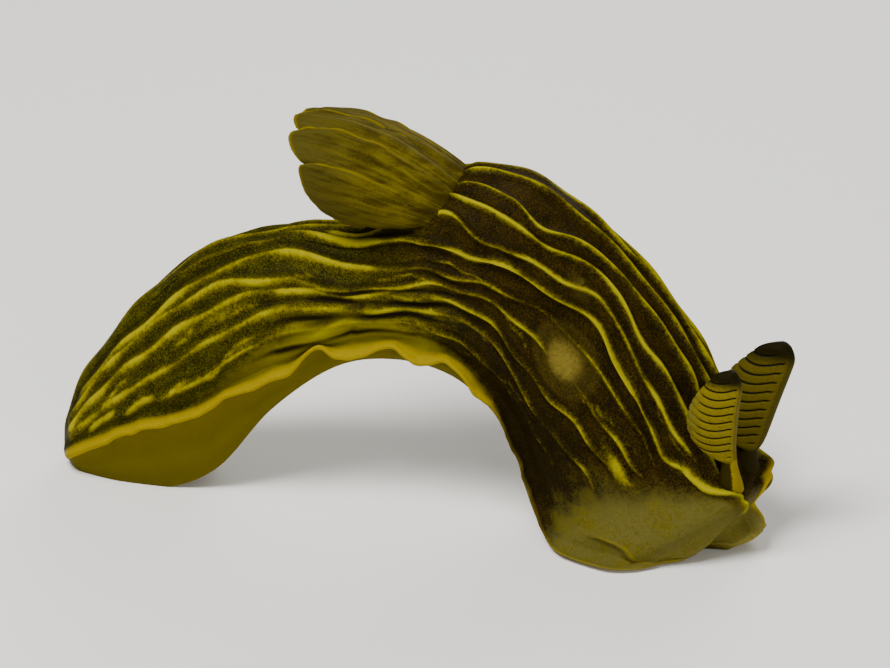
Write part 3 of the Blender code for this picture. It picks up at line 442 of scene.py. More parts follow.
def arc_table(u, height):
    """Length of each half section from the mid-back down, at even steps of t."""
    t = np.broadcast_to(np.linspace(0, 1, ARC_STEPS + 1), (len(u), ARC_STEPS + 1))
    out, up = half_section(u, height, t)
    steps = np.hypot(np.diff(out), np.diff(up))
    return np.concatenate((np.zeros((len(u), 1)), np.cumsum(steps, 1)), 1)


def arc(table, t):
    """Length down to t, read between the even steps of a table of lengths."""
    place = np.clip(t, 0, 1) * ARC_STEPS
    before = np.minimum(place.astype(int), ARC_STEPS - 1)
    start, end = (np.take_along_axis(table, before + after, 1) for after in (0, 1))
    return start + (end - start) * (place - before)


def ridge_line(number, u, left):
    """t of a ridge at stations u. The left side's ridges stray a little from the right's."""
    line = along(RIDGES[number][0], u)
    if number:
        for size, rate, change, shift in WAVERS:
            line = line + sway(u, number, size, rate + change * number, shift)
        if left:
            line = line + sway(u, number, *LEFT_SWAY)
    return line


def stretch(u, start, end, rise=RIDGE_FADE, fall=RIDGE_FADE):
    """1 from start to end, fading over its two ends."""
    return (ramp(u, start, rise) * ramp(u, end, -fall))[:, None]


def rearness(u, t):
    """1 on the rear of the body and 0 on its front, which starts further on low on the flank."""
    return ramp(u[:, None], REAR_TO + REAR_LOW * ramp(t, *REAR_DROP), -REAR_OVER)


def folding(u, t):
    """1 where the flank is squeezed into soft folds inside the bend of the body."""
    return stretch(u, *FOLD_REACH, FOLD_OVER, FOLD_OVER) * ramp(t, *FOLD_FROM) * ramp(t, *FOLD_TO)


def relief(u, t, left, table, proud):
    """Height of all that stands out of the skin, and the marks that colour it.

    A ridge is a bell curve of the distance from its line, the swelling of the opening and
    the hollow round the rhinophores are round bells, and the veil's edge is a step.
    """
    row, down = u[:, None], arc(table, t)

    def from_line(line):
        return down - arc(table, line + 0 * row)

    def from_spot(station, line):
        return np.hypot(from_line(line), (row - station) * SPOT_RUN)

    lift, yellow, furrow, pale, rear = 0 * t, 0 * t, 0 * t, 0 * t, rearness(u, t)
    slim = FRONT_WIDTH + (1 - FRONT_WIDTH) * rear
    for number, (_, (start, end), height, width, bright) in enumerate(RIDGES):
        cord, long = number == CORD, number < LONG_RIDGES
        stands = stretch(u, start, end + RIDGE_EXTRA * long, CORD_RISE if cord else RIDGE_RISE,
                         RIDGE_END if long and not cord else RIDGE_RISE)
        away = from_line(ridge_line(number, row, left))
        full = width * slim * (1 + CORD_SWELL * cord * ramp(row, *CORD_SWELLS))
        lean = REAR_ABOVE if cord else np.where(away > 0, REAR_BELOW, REAR_ABOVE)
        wide = full * (1 + (lean - 1) * rear)
        high = proud * height * (1 + sway(row, number, *KNOBS))
        lift = np.maximum(lift, high * stands * bump(away, (wide + full) / 2))
        # A painted shadow lies in the crevice above each ridge
        if long or height >= CREVICE_SHADOW_HEIGHT:
            dark = bump(away + CREVICE_SHADOW_PLACE * width * slim, CREVICE_SHADOW_WIDTH * width * slim)
            furrow = np.maximum(furrow, stands * bright * dark)
        if long:
            bright = bright * (1 - (1 - FRONT_BRIGHT[number]) * (1 - rear))
        glow = (1 - HALO) * bump(away, CREST_WIDTH * wide) + HALO * bump(away, HALO_WIDTH * wide)
        yellow = np.maximum(yellow, bright * (1 + sway(row, number, *DAPPLES)) * stands * glow)
    start, end, height, width, bright = CREST
    stands = stretch(u, start, end)
    lift = np.maximum(lift, height * stands * bump(down, width))
    yellow = np.maximum(yellow, bright * stands * bump(down, width))
    lift = lift + SCALLOP * stands * np.sin(2 * np.pi * row / SCALLOP_LENGTH) * bump(t, SCALLOP_REACH)
    lift = lift + CORNER_FILL * rear * bump(from_line(T_MANTLE), CORNER_WIDTH)
    furrow = furrow * (1 - np.minimum(yellow, 1))

    lines = [ridge_line(number, row, left) for number in FOLDED] + [T_GROOVE]
    crease, fold = 0 * t, folding(u, t)
    for number, (above, under) in enumerate(zip(lines, lines[1:])):
        away = from_line(CREASE_PLACE * under + (1 - CREASE_PLACE) * above)
        away = away + sway(row, number, *CREASE_WAVES)
        comes = CREASE_SHOWN + sway(row, number, *CREASE_COMES)
        crease = crease + comes * bump(away, CREASE_HALF * (1 + CREASE_WIDER * number))
    lift = lift - CREASE_DEPTH * fold * crease
    # The creases are dented and also darkened with painted shade
    furrow = np.maximum(furrow, fold * crease)
    yellow = np.maximum(yellow, FOLD_FILL * fold) * (1 - fold * np.minimum(crease, 1))

    station, depth, across, run = HOLLOW
    lift = lift - depth * bump(row - station, run) * bump(t, across)
    below = from_line(along(VEIL_EDGE, row))
    stands = ramp(row, VEIL_FROM, RIDGE_FADE)
    step = VEIL_STEP * (VEIL_LEFT if left else 1)
    lift = lift + step * stands * bump(below, np.where(below < 0, VEIL_BULGE, VEIL_DROP))
    edge = VEIL_GLOW * stands * bump(below + VEIL_GLOW_UP, VEIL_GLOW_WIDTH)
    if left:
        flap = stretch(u, *FLAP_STRETCH) * bump(from_line(along(FLAP, row)), FLAP_WIDTH)
        lift = lift + FLAP_HEIGHT * flap
        edge = np.maximum(edge, flap)
    else:
        *spot, radius, height = PORE
        far = from_spot(*spot) / radius
        lift = np.maximum(lift * ramp(far, PORE_RIDGES, 1), height * ramp(far, PORE_SWELL, -1))
        yellow = yellow * ramp(far, PORE_YELLOW, 1)
        pale = sum(strength * ramp(far, rim, soft) for strength, rim, soft in PORE_DISCS)
        pale = pale + sum(strength * bump(far - ring, half) for strength, ring, half in PORE_RINGS)
        *spot, radius, strength = SMUDGE
        pale = np.maximum(pale, strength * bump(from_spot(*spot), radius))
    station, line, length, width, bright = PATCH
    yellow = np.maximum(yellow, bright * bump(from_line(line), width) * bump(row - station, length))
    bright, width = POCKET_LINE
    for radius in POCKET_RADII:
        ring = bump(from_spot(*POCKET) - radius, width)
        yellow = np.maximum(yellow, bright * ring * ramp(t, *POCKET_TOP))
    station, half, line, depth = MOUTH
    lift = lift - depth * bump(row - station, half) * ramp(t, line, 1 - line)
    return lift, {"ridge": yellow, "edge": edge, "pale": pale, "furrow": furrow}


def to_space(u, out, up):
    """Points for distances out to the left and up from the sole, with the veil's lobes."""
    origin, rise, side, _ = frames(u)
    p = origin[:, None] + out[..., None] * side[:, None] + up[..., None] * rise[:, None]
    ahead = np.stack((side[:, 1], -side[:, 0], 0 * u), 1)
    front = ramp(u, LOBE_START, LOBE_RAMP)[:, None] * bump(p[..., 2] - LOBE_BELLY, LOBE_HEIGHT)
    reach = LEFT_REACH * smooth(out - LEFT_INNER) * (1 - ramp(out, LEFT_OUTER, LEFT_FADE))
    reach = reach + RIGHT_REACH * smooth(-out - RIGHT_INNER) * (1 - ramp(-out, RIGHT_OUTER, RIGHT_FADE))
    notch = NOTCH_DEPTH * bump(out - NOTCH_SIDE, NOTCH_WIDTH) * bump(p[..., 2], NOTCH_HEIGHT)
    p = p + (front * (reach - notch))[..., None] * ahead[:, None]
    p[..., 2] = np.maximum(p[..., 2], 0)
    return p


def skin(u, t, left, proud=1.0, above=0.0):
    """Points of one side's surface, or of one above it, and its marks, stations by columns."""
    height, row = frames(u)[3], u[:, None]
    out, up = half_section(u, height, t)
    (run, fall) = (after - before for after, before in zip(half_section(u, height, t + NORMAL_STEP),
                                                           half_section(u, height, t - NORMAL_STEP)))
    length = np.maximum(np.hypot(run, fall), 1e-6)
    lift, marks = relief(u, t, left, arc_table(u, height), proud)
    lift = lift + above
    out, up = out - lift * fall / length, up + lift * run / length
    out = np.where((t <= 0) | (t >= 1), 0, out)

    # Painted shade dims the foot's bright edge and the yellow near it under the front, and lifts round the
    # head
    dark, bend = ramp(row, *DIM), bump(row - BEND, BEND_HALF)
    dim = 1 - (1 - DIM_LEFT) * (1 - LIT_SHARE * ramp(row, *LIT)) * dark
    near = ramp(t, NEAR_TOP - NEAR_HIGHER * bend, NEAR_OVER + NEAR_SOFTER * bend)
    marks.update({
        "rear": rearness(u, t),
        "rim": dim * ramp(t, RIM_TOP + RIM_THIN * dark, RIM_OVER) * ramp(t, *RIM_FOOT),
        "near": dim * near * (1 + NEAR_STRONGER * bend),
        "fold": folding(u, t),
        # painted light on the veil's lobes
        "lobe": ramp(row, *LOBE_LIGHT) * (1 if left else RIGHT_LOBE_LIGHT) + 0 * t,
        # painted shade on the low front flank, partly its own darker colour
        "shade": ramp(t, *SHADE_DOWN) * ramp(row, *SHADE_FROM) * ramp(row, *SHADE_TO),
        "sole": ramp(t, *SOLE_FROM),
        "cheek": smooth((row - along(CHEEK, t)) / CHEEK_FADE + 0.5),
    })
    return to_space(u, out if left else -out, up), marks


def columns(u, left, finer):
    """t of the skin's columns: finer steps between each crest and its valleys, then the foot."""
    crests = [0 * u]
    for number in range(1, LONG_RIDGES):
        crests.append(np.maximum(ridge_line(number, u, left), crests[-1] + CREST_GAP))
    crests.append(0 * u + T_GROOVE - GROOVE_GAP)
    places = crests[:1]
    for a, b in zip(crests, crests[1:]):
        places += [(a + b) / 2, b]
    places = np.stack(places, 1)
    steps, even = np.diff(places, axis=1), np.arange(finer) / finer
    to_valley = (np.arange(steps.shape[1]) % 2 == 0)[:, None]
    parts = np.where(to_valley, even ** CROWDING, 1 - (1 - even) ** CROWDING)
    between = (places[:, :-1, None] + steps[..., None] * parts).reshape(len(u), -1)
    foot = np.broadcast_to(FOOT_COLUMNS, (len(u), len(FOOT_COLUMNS)))
    return np.concatenate((between, places[:, -1:], foot), 1)


def even_rows(rows):
    """Stations that are about evenly spaced along the body."""
    fine = np.linspace(0, LAST, ROW_STEPS)
    run = sum(np.linalg.norm(np.diff(rail, axis=0), axis=1) for rail in rails(fine))
    length = np.concatenate(((0,), np.cumsum(run + ROW_EVENNESS * run.mean())))
    return np.interp(np.linspace(0, length[-1], rows), length, fine)


def new_piece(name, points, faces, marks, slot):
    """Mesh object from points in mm, faces and one number a point for each mark."""
    mesh = bpy.data.meshes.new(name)
    place = (points.reshape(-1, 3) - (*CENTRE, 0)) * MM
    mesh.from_pydata(place.tolist(), [], faces)
    for mark, values in marks.items():
        layer = mesh.attributes.new(mark, "FLOAT", "POINT")
        layer.data.foreach_set("value", np.ascontiguousarray(values, np.float32).ravel())
    mesh.shade_smooth()
    piece = bpy.data.objects.new(name, mesh)
    bpy.context.scene.collection.objects.link(piece)
    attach(piece, "root")
    return piece


def ring_faces(rows, sides, first=0):
    """Quads between rows of closed rings, and one face over each end."""
    i, j = np.meshgrid(np.arange(rows - 1), np.arange(sides), indexing="ij")
    k = (j + 1) % sides
    quads = np.stack((i * sides + j, i * sides + k, (i + 1) * sides + k, (i + 1) * sides + j), -1)
    faces = (quads.reshape(-1, 4) + first).tolist()
    faces.append((np.arange(sides - 1, -1, -1) + first).tolist())
    faces.append((np.arange((rows - 1) * sides, rows * sides) + first).tolist())
    return faces


def vane_faces(rows, sides, first=0):
    """Quads of a closed vane: its outer grid, its inner grid turned over, and its rim."""
    grid = np.arange(rows * sides).reshape(rows, sides)
    under = rows * sides
    a, b, c, d = grid[:-1, :-1], grid[:-1, 1:], grid[1:, 1:], grid[1:, :-1]
    outer = np.stack((a, b, c, d), -1).reshape(-1, 4)
    inner = np.stack((a, d, c, b), -1).reshape(-1, 4) + under
    rim = np.concatenate((grid[0], grid[1:, -1], grid[-1, -2::-1], grid[-2:0:-1, 0]))
    after = np.roll(rim, -1)
    side = np.stack((after, rim, rim + under, after + under), -1)
    return (np.concatenate((outer, inner, side)) + first).tolist()


def slug_skin(rows, finer, proud):
    """The whole skin: rings of the right side down, then the left side up, at every station."""
    u = even_rows(rows)
    right, right_marks = skin(u, columns(u, False, finer), False, proud)
    left, left_marks = skin(u, columns(u, True, finer), True, proud)

    def joined(down, up):
        return np.concatenate((down, up[:, -2:0:-1]), 1)

    points = joined(right, left)
    return points, ring_faces(*points.shape[:2]), {name: joined(right_marks[name], left_marks[name])
                                                   for name in right_marks}


def gill_root(angle, above):
    """Point of the arc that carries the leaves, 0 in front, negative on the right."""
    u = GILL_STATION - GILL_STATION_DROP * (1 - np.cos(angle))
    t = GILL_T * np.abs(np.sin(angle))[:, None]
    right, left = (skin(u, t, side, above=above)[0][:, 0] for side in (False, True))
    return np.where((angle < 0)[:, None], right, left)


def gill_leaf(number, rows, sides, thickest, thinnest):
    """One broad leaf: a straight run from the arc to the fan's rim, arched, ribbed and ruffled.

    s runs from root to tip and v across. Both faces are the middle surface moved along its
    own normal by half the thickness, which falls towards the edges.
    """
    middle_angle, half_width, skew, length = LEAVES[number]
    share = 2 * number / (len(LEAVES) - 1) - 1
    s = np.linspace(0, 1, rows)[:, None]
    v = np.sin(np.linspace(-np.pi / 2, np.pi / 2, sides))[None, :]
    wide, grown = np.abs(v), ramp(s, 0, LEAF_GROWN)
    reach = s * length * (1 - s * (LEAF_ROUND * v ** 4 + LEAF_SKEW * (v - skew) ** 2))
    angle = middle_angle + v * half_width * (1 - LEAF_TAPER * s ** 5)
    root = gill_root(share * (GILL_ARC - LEAF_ROOT) + v[0] * LEAF_ROOT, ROOT_LIFT)
    fan = np.stack([along(FAN_RIM[:, (0, axis)], angle) for axis in (1, 2, 3)], -1)
    outward = unit(fan * (0, 1, 1) + np.array((OUTWARD_LEAN, *FAN_MIDDLE)) * (1, -1, -1))
    middle = root * (1 - reach[..., None]) + fan * reach[..., None]
    arch = along(FAN_CROWN, abs(angle)) * np.sin(np.pi * np.clip(reach, 0, 1)) ** CROWN_BLUNT
    ruffle = v ** 2 * np.sin(2 * np.pi * RUFFLES * s + RUFFLE_SHIFT * number + RUFFLE_SLANT * v)
    folds = sum(size * np.sin(rate * v + shift * number + slant * s)
                for size, rate, shift, slant in LEAF_FOLDS)
    lift = arch + LEAF_RIB * bump(v, RIB_WIDTH) + grown * (LEAF_LIFT * v + LEAF_RUFFLE * ruffle + folds)
    middle = middle + lift[..., None] * outward
    normal = unit(np.cross(np.gradient(middle, axis=1), np.gradient(middle, axis=0)))
    normal *= np.sign((normal * outward).sum(-1).mean())
    thick = thickest + (thinnest - thickest) * np.maximum(s, wide) ** 2
    pleat = 1 + np.sin(2 * np.pi * (PLEATS * s - PLEAT_SLANT * wide))
    pleat = PLEAT * smooth(PLEAT_START * (1 - wide)) * grown * pleat
    half = (thick / 2)[..., None] * normal
    points = np.stack((middle + half, middle - half - pleat[..., None] * normal))

    def vein(rate, shift, spread):
        return bump(np.sin(rate * v + shift * number + spread * s * v), VEIN_WIDTH)

    whole = 0 * s * v
    edge = np.maximum(ramp(wide, *EDGE_SIDE) * ramp(s, 0, ROOT_OVER), ramp(s, *EDGE_TIP))
    fine = FINE_SHARE * vein(*FINE_VEINS) * np.sin(np.pi * s)
    veins = np.maximum(vein(*VEINS) * (1 - s) ** VEIN_FADE, fine)
    # The root, where the leaf meets the body, and the side under its neighbour carry painted shade
    marks = {name: np.stack((mark + whole,) * 2) for name, mark in {
        "edge": edge, "tip": s, "root": 1 - ramp(s, 0, ROOT_OVER), "across": v + STREAK_SHIFT * number,
        "under": ramp(v, *UNDER_SIDE) * ramp(s, 0, UNDER_OVER)}.items()}
    marks["vein"] = np.stack((veins, PLEAT_MARK * pleat))
    return points, marks


def tube(path, radius, sides):
    """Rings round a path of points, radius one number a point."""
    run = unit(np.gradient(path, axis=0))
    across = unit(np.cross(run, (0.0, 1.0, 0.0)))
    turn = np.linspace(0, 2 * np.pi, sides, endpoint=False)[None, :, None]
    ring = np.cos(turn) * across[:, None] + np.sin(turn) * np.cross(run, across)[:, None]
    return path[:, None] + radius[:, None, None] * ring


def papilla():
    """Rings of a short blunt tube that stands on the back between the leaves."""
    station, radius, height = PAPILLA
    foot = skin(np.array([station]), np.zeros((1, 1)), False)[0][0, 0]
    rise = np.linspace(-PAPILLA_SUNK, 1, PAPILLA_RINGS)
    blunt = 1 - (np.clip(rise, 0, 1) * PAPILLA_TOP) ** PAPILLA_BLUNT
    taper = radius * np.sqrt(np.clip(blunt, PAPILLA_LEAST, 1)) * (1 - PAPILLA_TAPER * rise)
    path = foot + np.stack((-PAPILLA_LEAN * rise * height, 0 * rise, rise * height), 1)
    return tube(path, taper, PAPILLA_RINGS)


def gill(rows, sides, *thickness):
    """All leaves and the papilla between them, as one mesh."""
    parts = [(*gill_leaf(number, rows, sides, *thickness), vane_faces, rows, sides)
             for number in range(len(LEAVES))]
    parts.append((papilla(), {}, ring_faces, PAPILLA_RINGS, PAPILLA_RINGS))
    points, faces, first = [], [], 0
    for place, _, make_faces, *shape in parts:
        points.append(place.reshape(-1, 3))
        faces += make_faces(*shape, first)
        first += len(points[-1])
    marks = {name: np.concatenate([part[1].get(name, np.zeros(len(place))).ravel()
                                   for part, place in zip(parts, points)]) for name in LEAF_MARKS}
    return np.concatenate(points), faces, marks


def rhinophore(name, rows, sides, radius, depth):
    """Stalk and leaf-shaped club, whose lamellae are grooves that sag between its edges.

    Rings are half ellipses, long behind the stalk and short in front of it. The groove's
    place is the height up the club less a sag that is greatest half way across.
    """
    base, tip, turn, behind, before, start, dim = RHINOPHORES[name]
    base, tip = np.array(base), np.array(tip)
    s = np.linspace(0, 1, rows)[:, None]
    club = np.clip((s - start) / (1 - start), 0, 1)
    low = s < CLUB_MIDDLE
    reach = np.where(low, CLUB_MIDDLE - start, 1 - CLUB_MIDDLE)
    shape = np.clip(1 - ((s - CLUB_MIDDLE) / reach) ** 2, 0, 1) ** np.where(low, 0.5, CLUB_POINT)
    angle = np.linspace(0, 2 * np.pi, sides, endpoint=False)[None, :]
    out = -np.cos(angle)
    leaf = np.clip(out * shape, 0, 1)
    phase = LAMELLAE * club + LAMELLA_SAG * np.sin(np.pi * leaf) - LAMELLA_SLOPE * leaf
    shown = ramp(club, *LAMELLA_FROM) * ramp(club, *LAMELLA_TO) * ramp(out, *LAMELLA_SIDE)
    line = shown * bump(phase - np.round(phase), LAMELLA_LINE)
    stalk = radius * (1 - STALK_TAPER * s + STALK_FLARE * smooth(1 - s / start))
    back = np.maximum(stalk, behind * shape) - depth * line
    front = np.maximum(STALK_FRONT * stalk, before * shape ** 0.5)
    thick = np.maximum(stalk, CLUB_THICKNESS / 2 * shape) - depth * line
    end = np.clip(club - (1 - CLUB_ROUND), 0, 1) / CLUB_ROUND
    taper = np.sqrt(np.clip(1 - end ** 2, CLUB_END, 1))
    heading = math.radians(along(HEADING, np.array([HEAD_STATION]))[0] + turn)
    ahead = np.array((math.cos(heading), math.sin(heading), 0.0))
    side = np.array((-math.sin(heading), math.cos(heading), 0.0))
    along_x = np.where(out < 0, front, back) * taper * -out
    along_y = thick * taper * np.sin(angle)
    back_off = CLUB_BOW * np.sin(np.pi * s) + TIP_BACK * ramp(club, TIP_FROM, 1 - TIP_FROM) ** 2
    middle = base + (tip - base) * s - back_off * ahead
    points = middle[:, None] + along_x[..., None] * ahead + along_y[..., None] * side
    marks = {"line": line * ramp(leaf, *LINE_END), "leaf": leaf, "dim": dim, "tip": ramp(club, *DARK_TIP),
             "front": ramp(out, *DARK_FRONT), "stalk": ramp(club, *DARK_STALK),
             "patch": ramp(club, *PATCH_TOP) * ramp(out, *PATCH_SIDE) * (dim == 0)}
    return points, ring_faces(rows, sides), {name: mark + 0 * leaf for name, mark in marks.items()}


class Value:
    """A socket of one finish, on which arithmetic adds Math nodes."""

    def __init__(self, finish, socket):
        self.finish, self.socket = finish, socket

    def math(self, operation, *values, clamp=False):
        """One Math node on these values."""
        settings = {"operation": operation, "use_clamp": clamp}
        return self.finish.node("ShaderNodeMath", settings, dict(enumerate(values)))

    def __add__(self, other):
        return self.math("ADD", self, other)

    def __mul__(self, other):
        return self.math("MULTIPLY", self, other)

    def __sub__(self, other):
        return self.math("SUBTRACT", self, other)

    def __rsub__(self, other):
        return self.math("SUBTRACT", other, self)

    __radd__ = __add__
    __rmul__ = __mul__

    def clamped(self):
        """The same value, kept from 0 to 1."""
        return self.math("ADD", self, 0, clamp=True)

    def step(self, start, end):
        """0 below start, 1 above end and smooth between them."""
        settings = {"interpolation_type": "SMOOTHSTEP"}
        return self.finish.node("ShaderNodeMapRange", settings, {0: self, 1: start, 2: end})


class Finish:
    """A material of one Principled shader, with its node tree and the noises that break it up."""

    def __init__(self, name, roughness, specular=0.03, **constants):
        self.material = bpy.data.materials.new(name)
        self.material.use_nodes = True
        self.tree = self.material.node_tree
        self.shader = self.tree.nodes["Principled BSDF"]
        self.noises = {}
        constants |= {"Roughness": roughness, "Specular IOR Level": specular}
        for socket, value in constants.items():
            self.shader.inputs[socket.replace("_", " ")].default_value = value

    def node(self, kind, settings, inputs, output=0):
        """A node of a kind, with its settings made first and then its inputs set or linked."""
        made = self.tree.nodes.new(kind)
        for name, value in settings.items():
            setattr(made, name, value)
        for key, value in inputs.items():
            if isinstance(value, Value):
                self.tree.links.new(value.socket, made.inputs[key])
            else:
                made.inputs[key].default_value = value
        return Value(self, made.outputs[output])

    def mark(self, name):
        """The number that the mesh keeps under this name."""
        return self.node("ShaderNodeAttribute", {"attribute_name": name}, {}, "Fac")

    def noise(self, name, per_mm, detail=3.0, roughness=0.55, stretch_xyz=(1, 1, 1)):
        """Noise on Object coordinates, with its number of features a millimetre, kept by its name."""
        place = self.node("ShaderNodeTexCoord", {}, {}, "Object")
        place = self.node("ShaderNodeMapping", {}, {"Vector": place, "Scale": stretch_xyz})
        values = {"Vector": place, "Scale": per_mm / MM, "Detail": detail, "Roughness": roughness}
        self.noises[name] = self.node("ShaderNodeTexNoise", {}, values, "Fac")
        return self.noises[name]

    def streaks(self, across, run, per_side, per_length):
        """Noise drawn out along a leaf, from the marks that run across and along it."""
        sides = {"X": self.mark(across) * per_side, "Y": self.mark(run) * per_length}
        place = self.node("ShaderNodeCombineXYZ", {}, sides)
        values = {"Vector": place, "Scale": 1.0, "Detail": 3.0, "Roughness": 0.6}
        return self.node("ShaderNodeTexNoise", {}, values, "Fac")

    def broken(self, value, **shares):
        """A value with shares of the named noises, less their middle, which break up its edge."""
        for name, share in shares.items():
            value = value + (self.noises[name] - 0.5) * share
        return value

    def mix(self, factor, start, end):
        """Colour between start and end."""
        start, end = [c if isinstance(c, Value) else (*c, 1) for c in (start, end)]
        return self.node("ShaderNodeMix", {"data_type": "RGBA"}, {0: factor, 6: start, 7: end}, 2)

    def layers(self, base, *layers):
        """Base colour under layers of (colour, factor), the last one on top."""
        for over, factor in layers:
            base = self.mix(factor, base, over)
        return base

    def feed(self, socket, value):
        """Link a value to a socket of the shader."""
        self.tree.links.new(value.socket, self.shader.inputs[socket])

    def bump(self, height, distance, strength=0.6):
        """Small relief that feeds the normal, distance in mm."""
        values = {"Height": height, "Distance": distance * MM, "Strength": strength}
        self.feed("Normal", self.node("ShaderNodeBump", {}, values))


def soft(weight, depth, *radius):
    """Settings of flesh that light sinks into, depth in mm."""
    return {"Subsurface_Weight": weight, "Subsurface_Scale": depth * MM, "Subsurface_Radius": radius}


def linear(red, green, blue):
    """Linear colour of the one that a screen shows with these three numbers from 0 to 255.

    The curve is the usual one of screens: straight in the darkest tones, then a power.
    """
    return tuple(((c / 255 + 0.055) / 1.055) ** 2.4 if c > 10 else c / 255 / 12.92
                 for c in (red, green, blue))


def colour(name, description, *screen):
    """Property of a colour, given as a screen shows it."""
    return FloatVectorProperty(name=name, description=description, subtype="COLOR", size=3, min=0, max=1,
                               default=linear(*screen))


def count(name, description, default, least):
    """Property of a whole number."""
    return IntProperty(name=name, description=description, default=default, min=least)


def length(name, description, size):
    """Property of a length, from its size in mm."""
    return FloatProperty(name=name, description=description, unit="LENGTH", precision=5, min=0,
                         default=size * MM)


def strength(name, description, default):
    """Property of a strength, as a factor."""
    return FloatProperty(name=name, description=description, subtype="FACTOR", default=default, min=0,
                         soft_max=2)


def in_mm(*lengths):
    """Lengths of properties in mm, rounded because a property keeps only about seven digits."""
    return [round(size / MM, 5) for size in lengths]


class SlugSkinSettings(bpy.types.PropertyGroup):
    rows: count("Rows", "Rings of the skin along the body", 430, 60)
    finer: count("Finer", "Columns between a ridge and its valley", 4, 1)
    proud: strength("Ridge height", "How far the ridges stand out", 1)
    valley: colour("Front valleys", "Skin between the ridges of the front", 18, 12, 0)
    valley_rear: colour("Rear valleys", "Skin between the ridges of the rear", 28, 25, 0)
    speck: colour("Front speckle", "Fine specks of the front", 52, 39, 0)
    speck_rear: colour("Rear speckle", "Fine specks of the rear", 73, 70, 2)
    ridge_dull: colour("Dull ridges", "Sides of the ridges", 85, 76, 1)
    ridge_bright: colour("Bright ridges", "Crests of the ridges", 140, 131, 4)
    foot_edge: colour("Foot edge", "Edge of the foot and of the veil", 142, 122, 0)
    sole: colour("Sole", "Underside of the foot", 101, 89, 2)
    cheek: colour("Cheek", "Smooth skin of the head and veil", 85, 79, 30)
    # Painted light: a paler colour for the veil's lobes, which lie in shade and let light through
    lobe: colour("Veil lobes", "Paler skin of the veil's two lobes", 124, 114, 46)
    cheek_speck: colour("Cheek speckle", "Dark specks of the cheek", 36, 33, 4)
    pale: colour("Pale spots", "Genital opening and the spot on the back", 104, 91, 30)


class SlugGillSettings(bpy.types.PropertyGroup):
    rows: count("Rows", "Rows of a leaf from root to tip", 70, 8)
    columns: count("Columns", "Columns of a leaf", 49, 7)
    thickest: length("Leaf thickness", "Thickness in the middle of a leaf's root", LEAF_THICKNESS)
    thinnest: length("Edge thickness", "Thickness at the edge of a leaf", LEAF_EDGE)
    leaf: colour("Leaf", "Outer face of the leaves", 79, 70, 11)
    leaf_dark: colour("Dark leaf", "Darker cloud on the leaves", 46, 37, 1)
    edge: colour("Leaf edge", "Edges of the leaves", 98, 86, 1)
    vein: colour("Vein", "Veins near the leaf's root", 101, 91, 13)
    tip: colour("Tip", "Greyer skin near the tips", 67, 61, 17)


class SlugRhinophoreSettings(bpy.types.PropertyGroup):
    rows: count("Rows", "Rings from base to tip", 260, 40)
    sides: count("Sides", "Points of a ring", 88, 12)
    radius: length("Stalk radius", "Radius of the stalk under the club", STALK_RADIUS)
    depth: length("Gap depth", "Depth of the gaps between the lamellae", LAMELLA_DEPTH)
    band: colour("Band", "Lamellae", 106, 94, 14)
    leaf: colour("Leaf", "Outer part of the lamellae", 92, 84, 26)
    line: colour("Line", "Gaps between the lamellae", 12, 10, 1)
    dark: colour("Rachis", "Front edge and tip", 22, 18, 1)
    # Painted shade of the hollow that the stalk stands in
    stalk: colour("Stalk", "Stalk under the club", 40, 33, 1)
    patch: colour("Patch", "Yellow patch on the front of the stalk", 122, 106, 1)


class SlugStageSettings(bpy.types.PropertyGroup):
    floor: colour("Floor", "Plain floor", 240, 238, 232)
    light: strength("Light", "Strength of the studio light", 0.8)


# In the layers of a finish, the two numbers of a step are the levels between which a layer
# comes in, and the number that follows it is its strength.


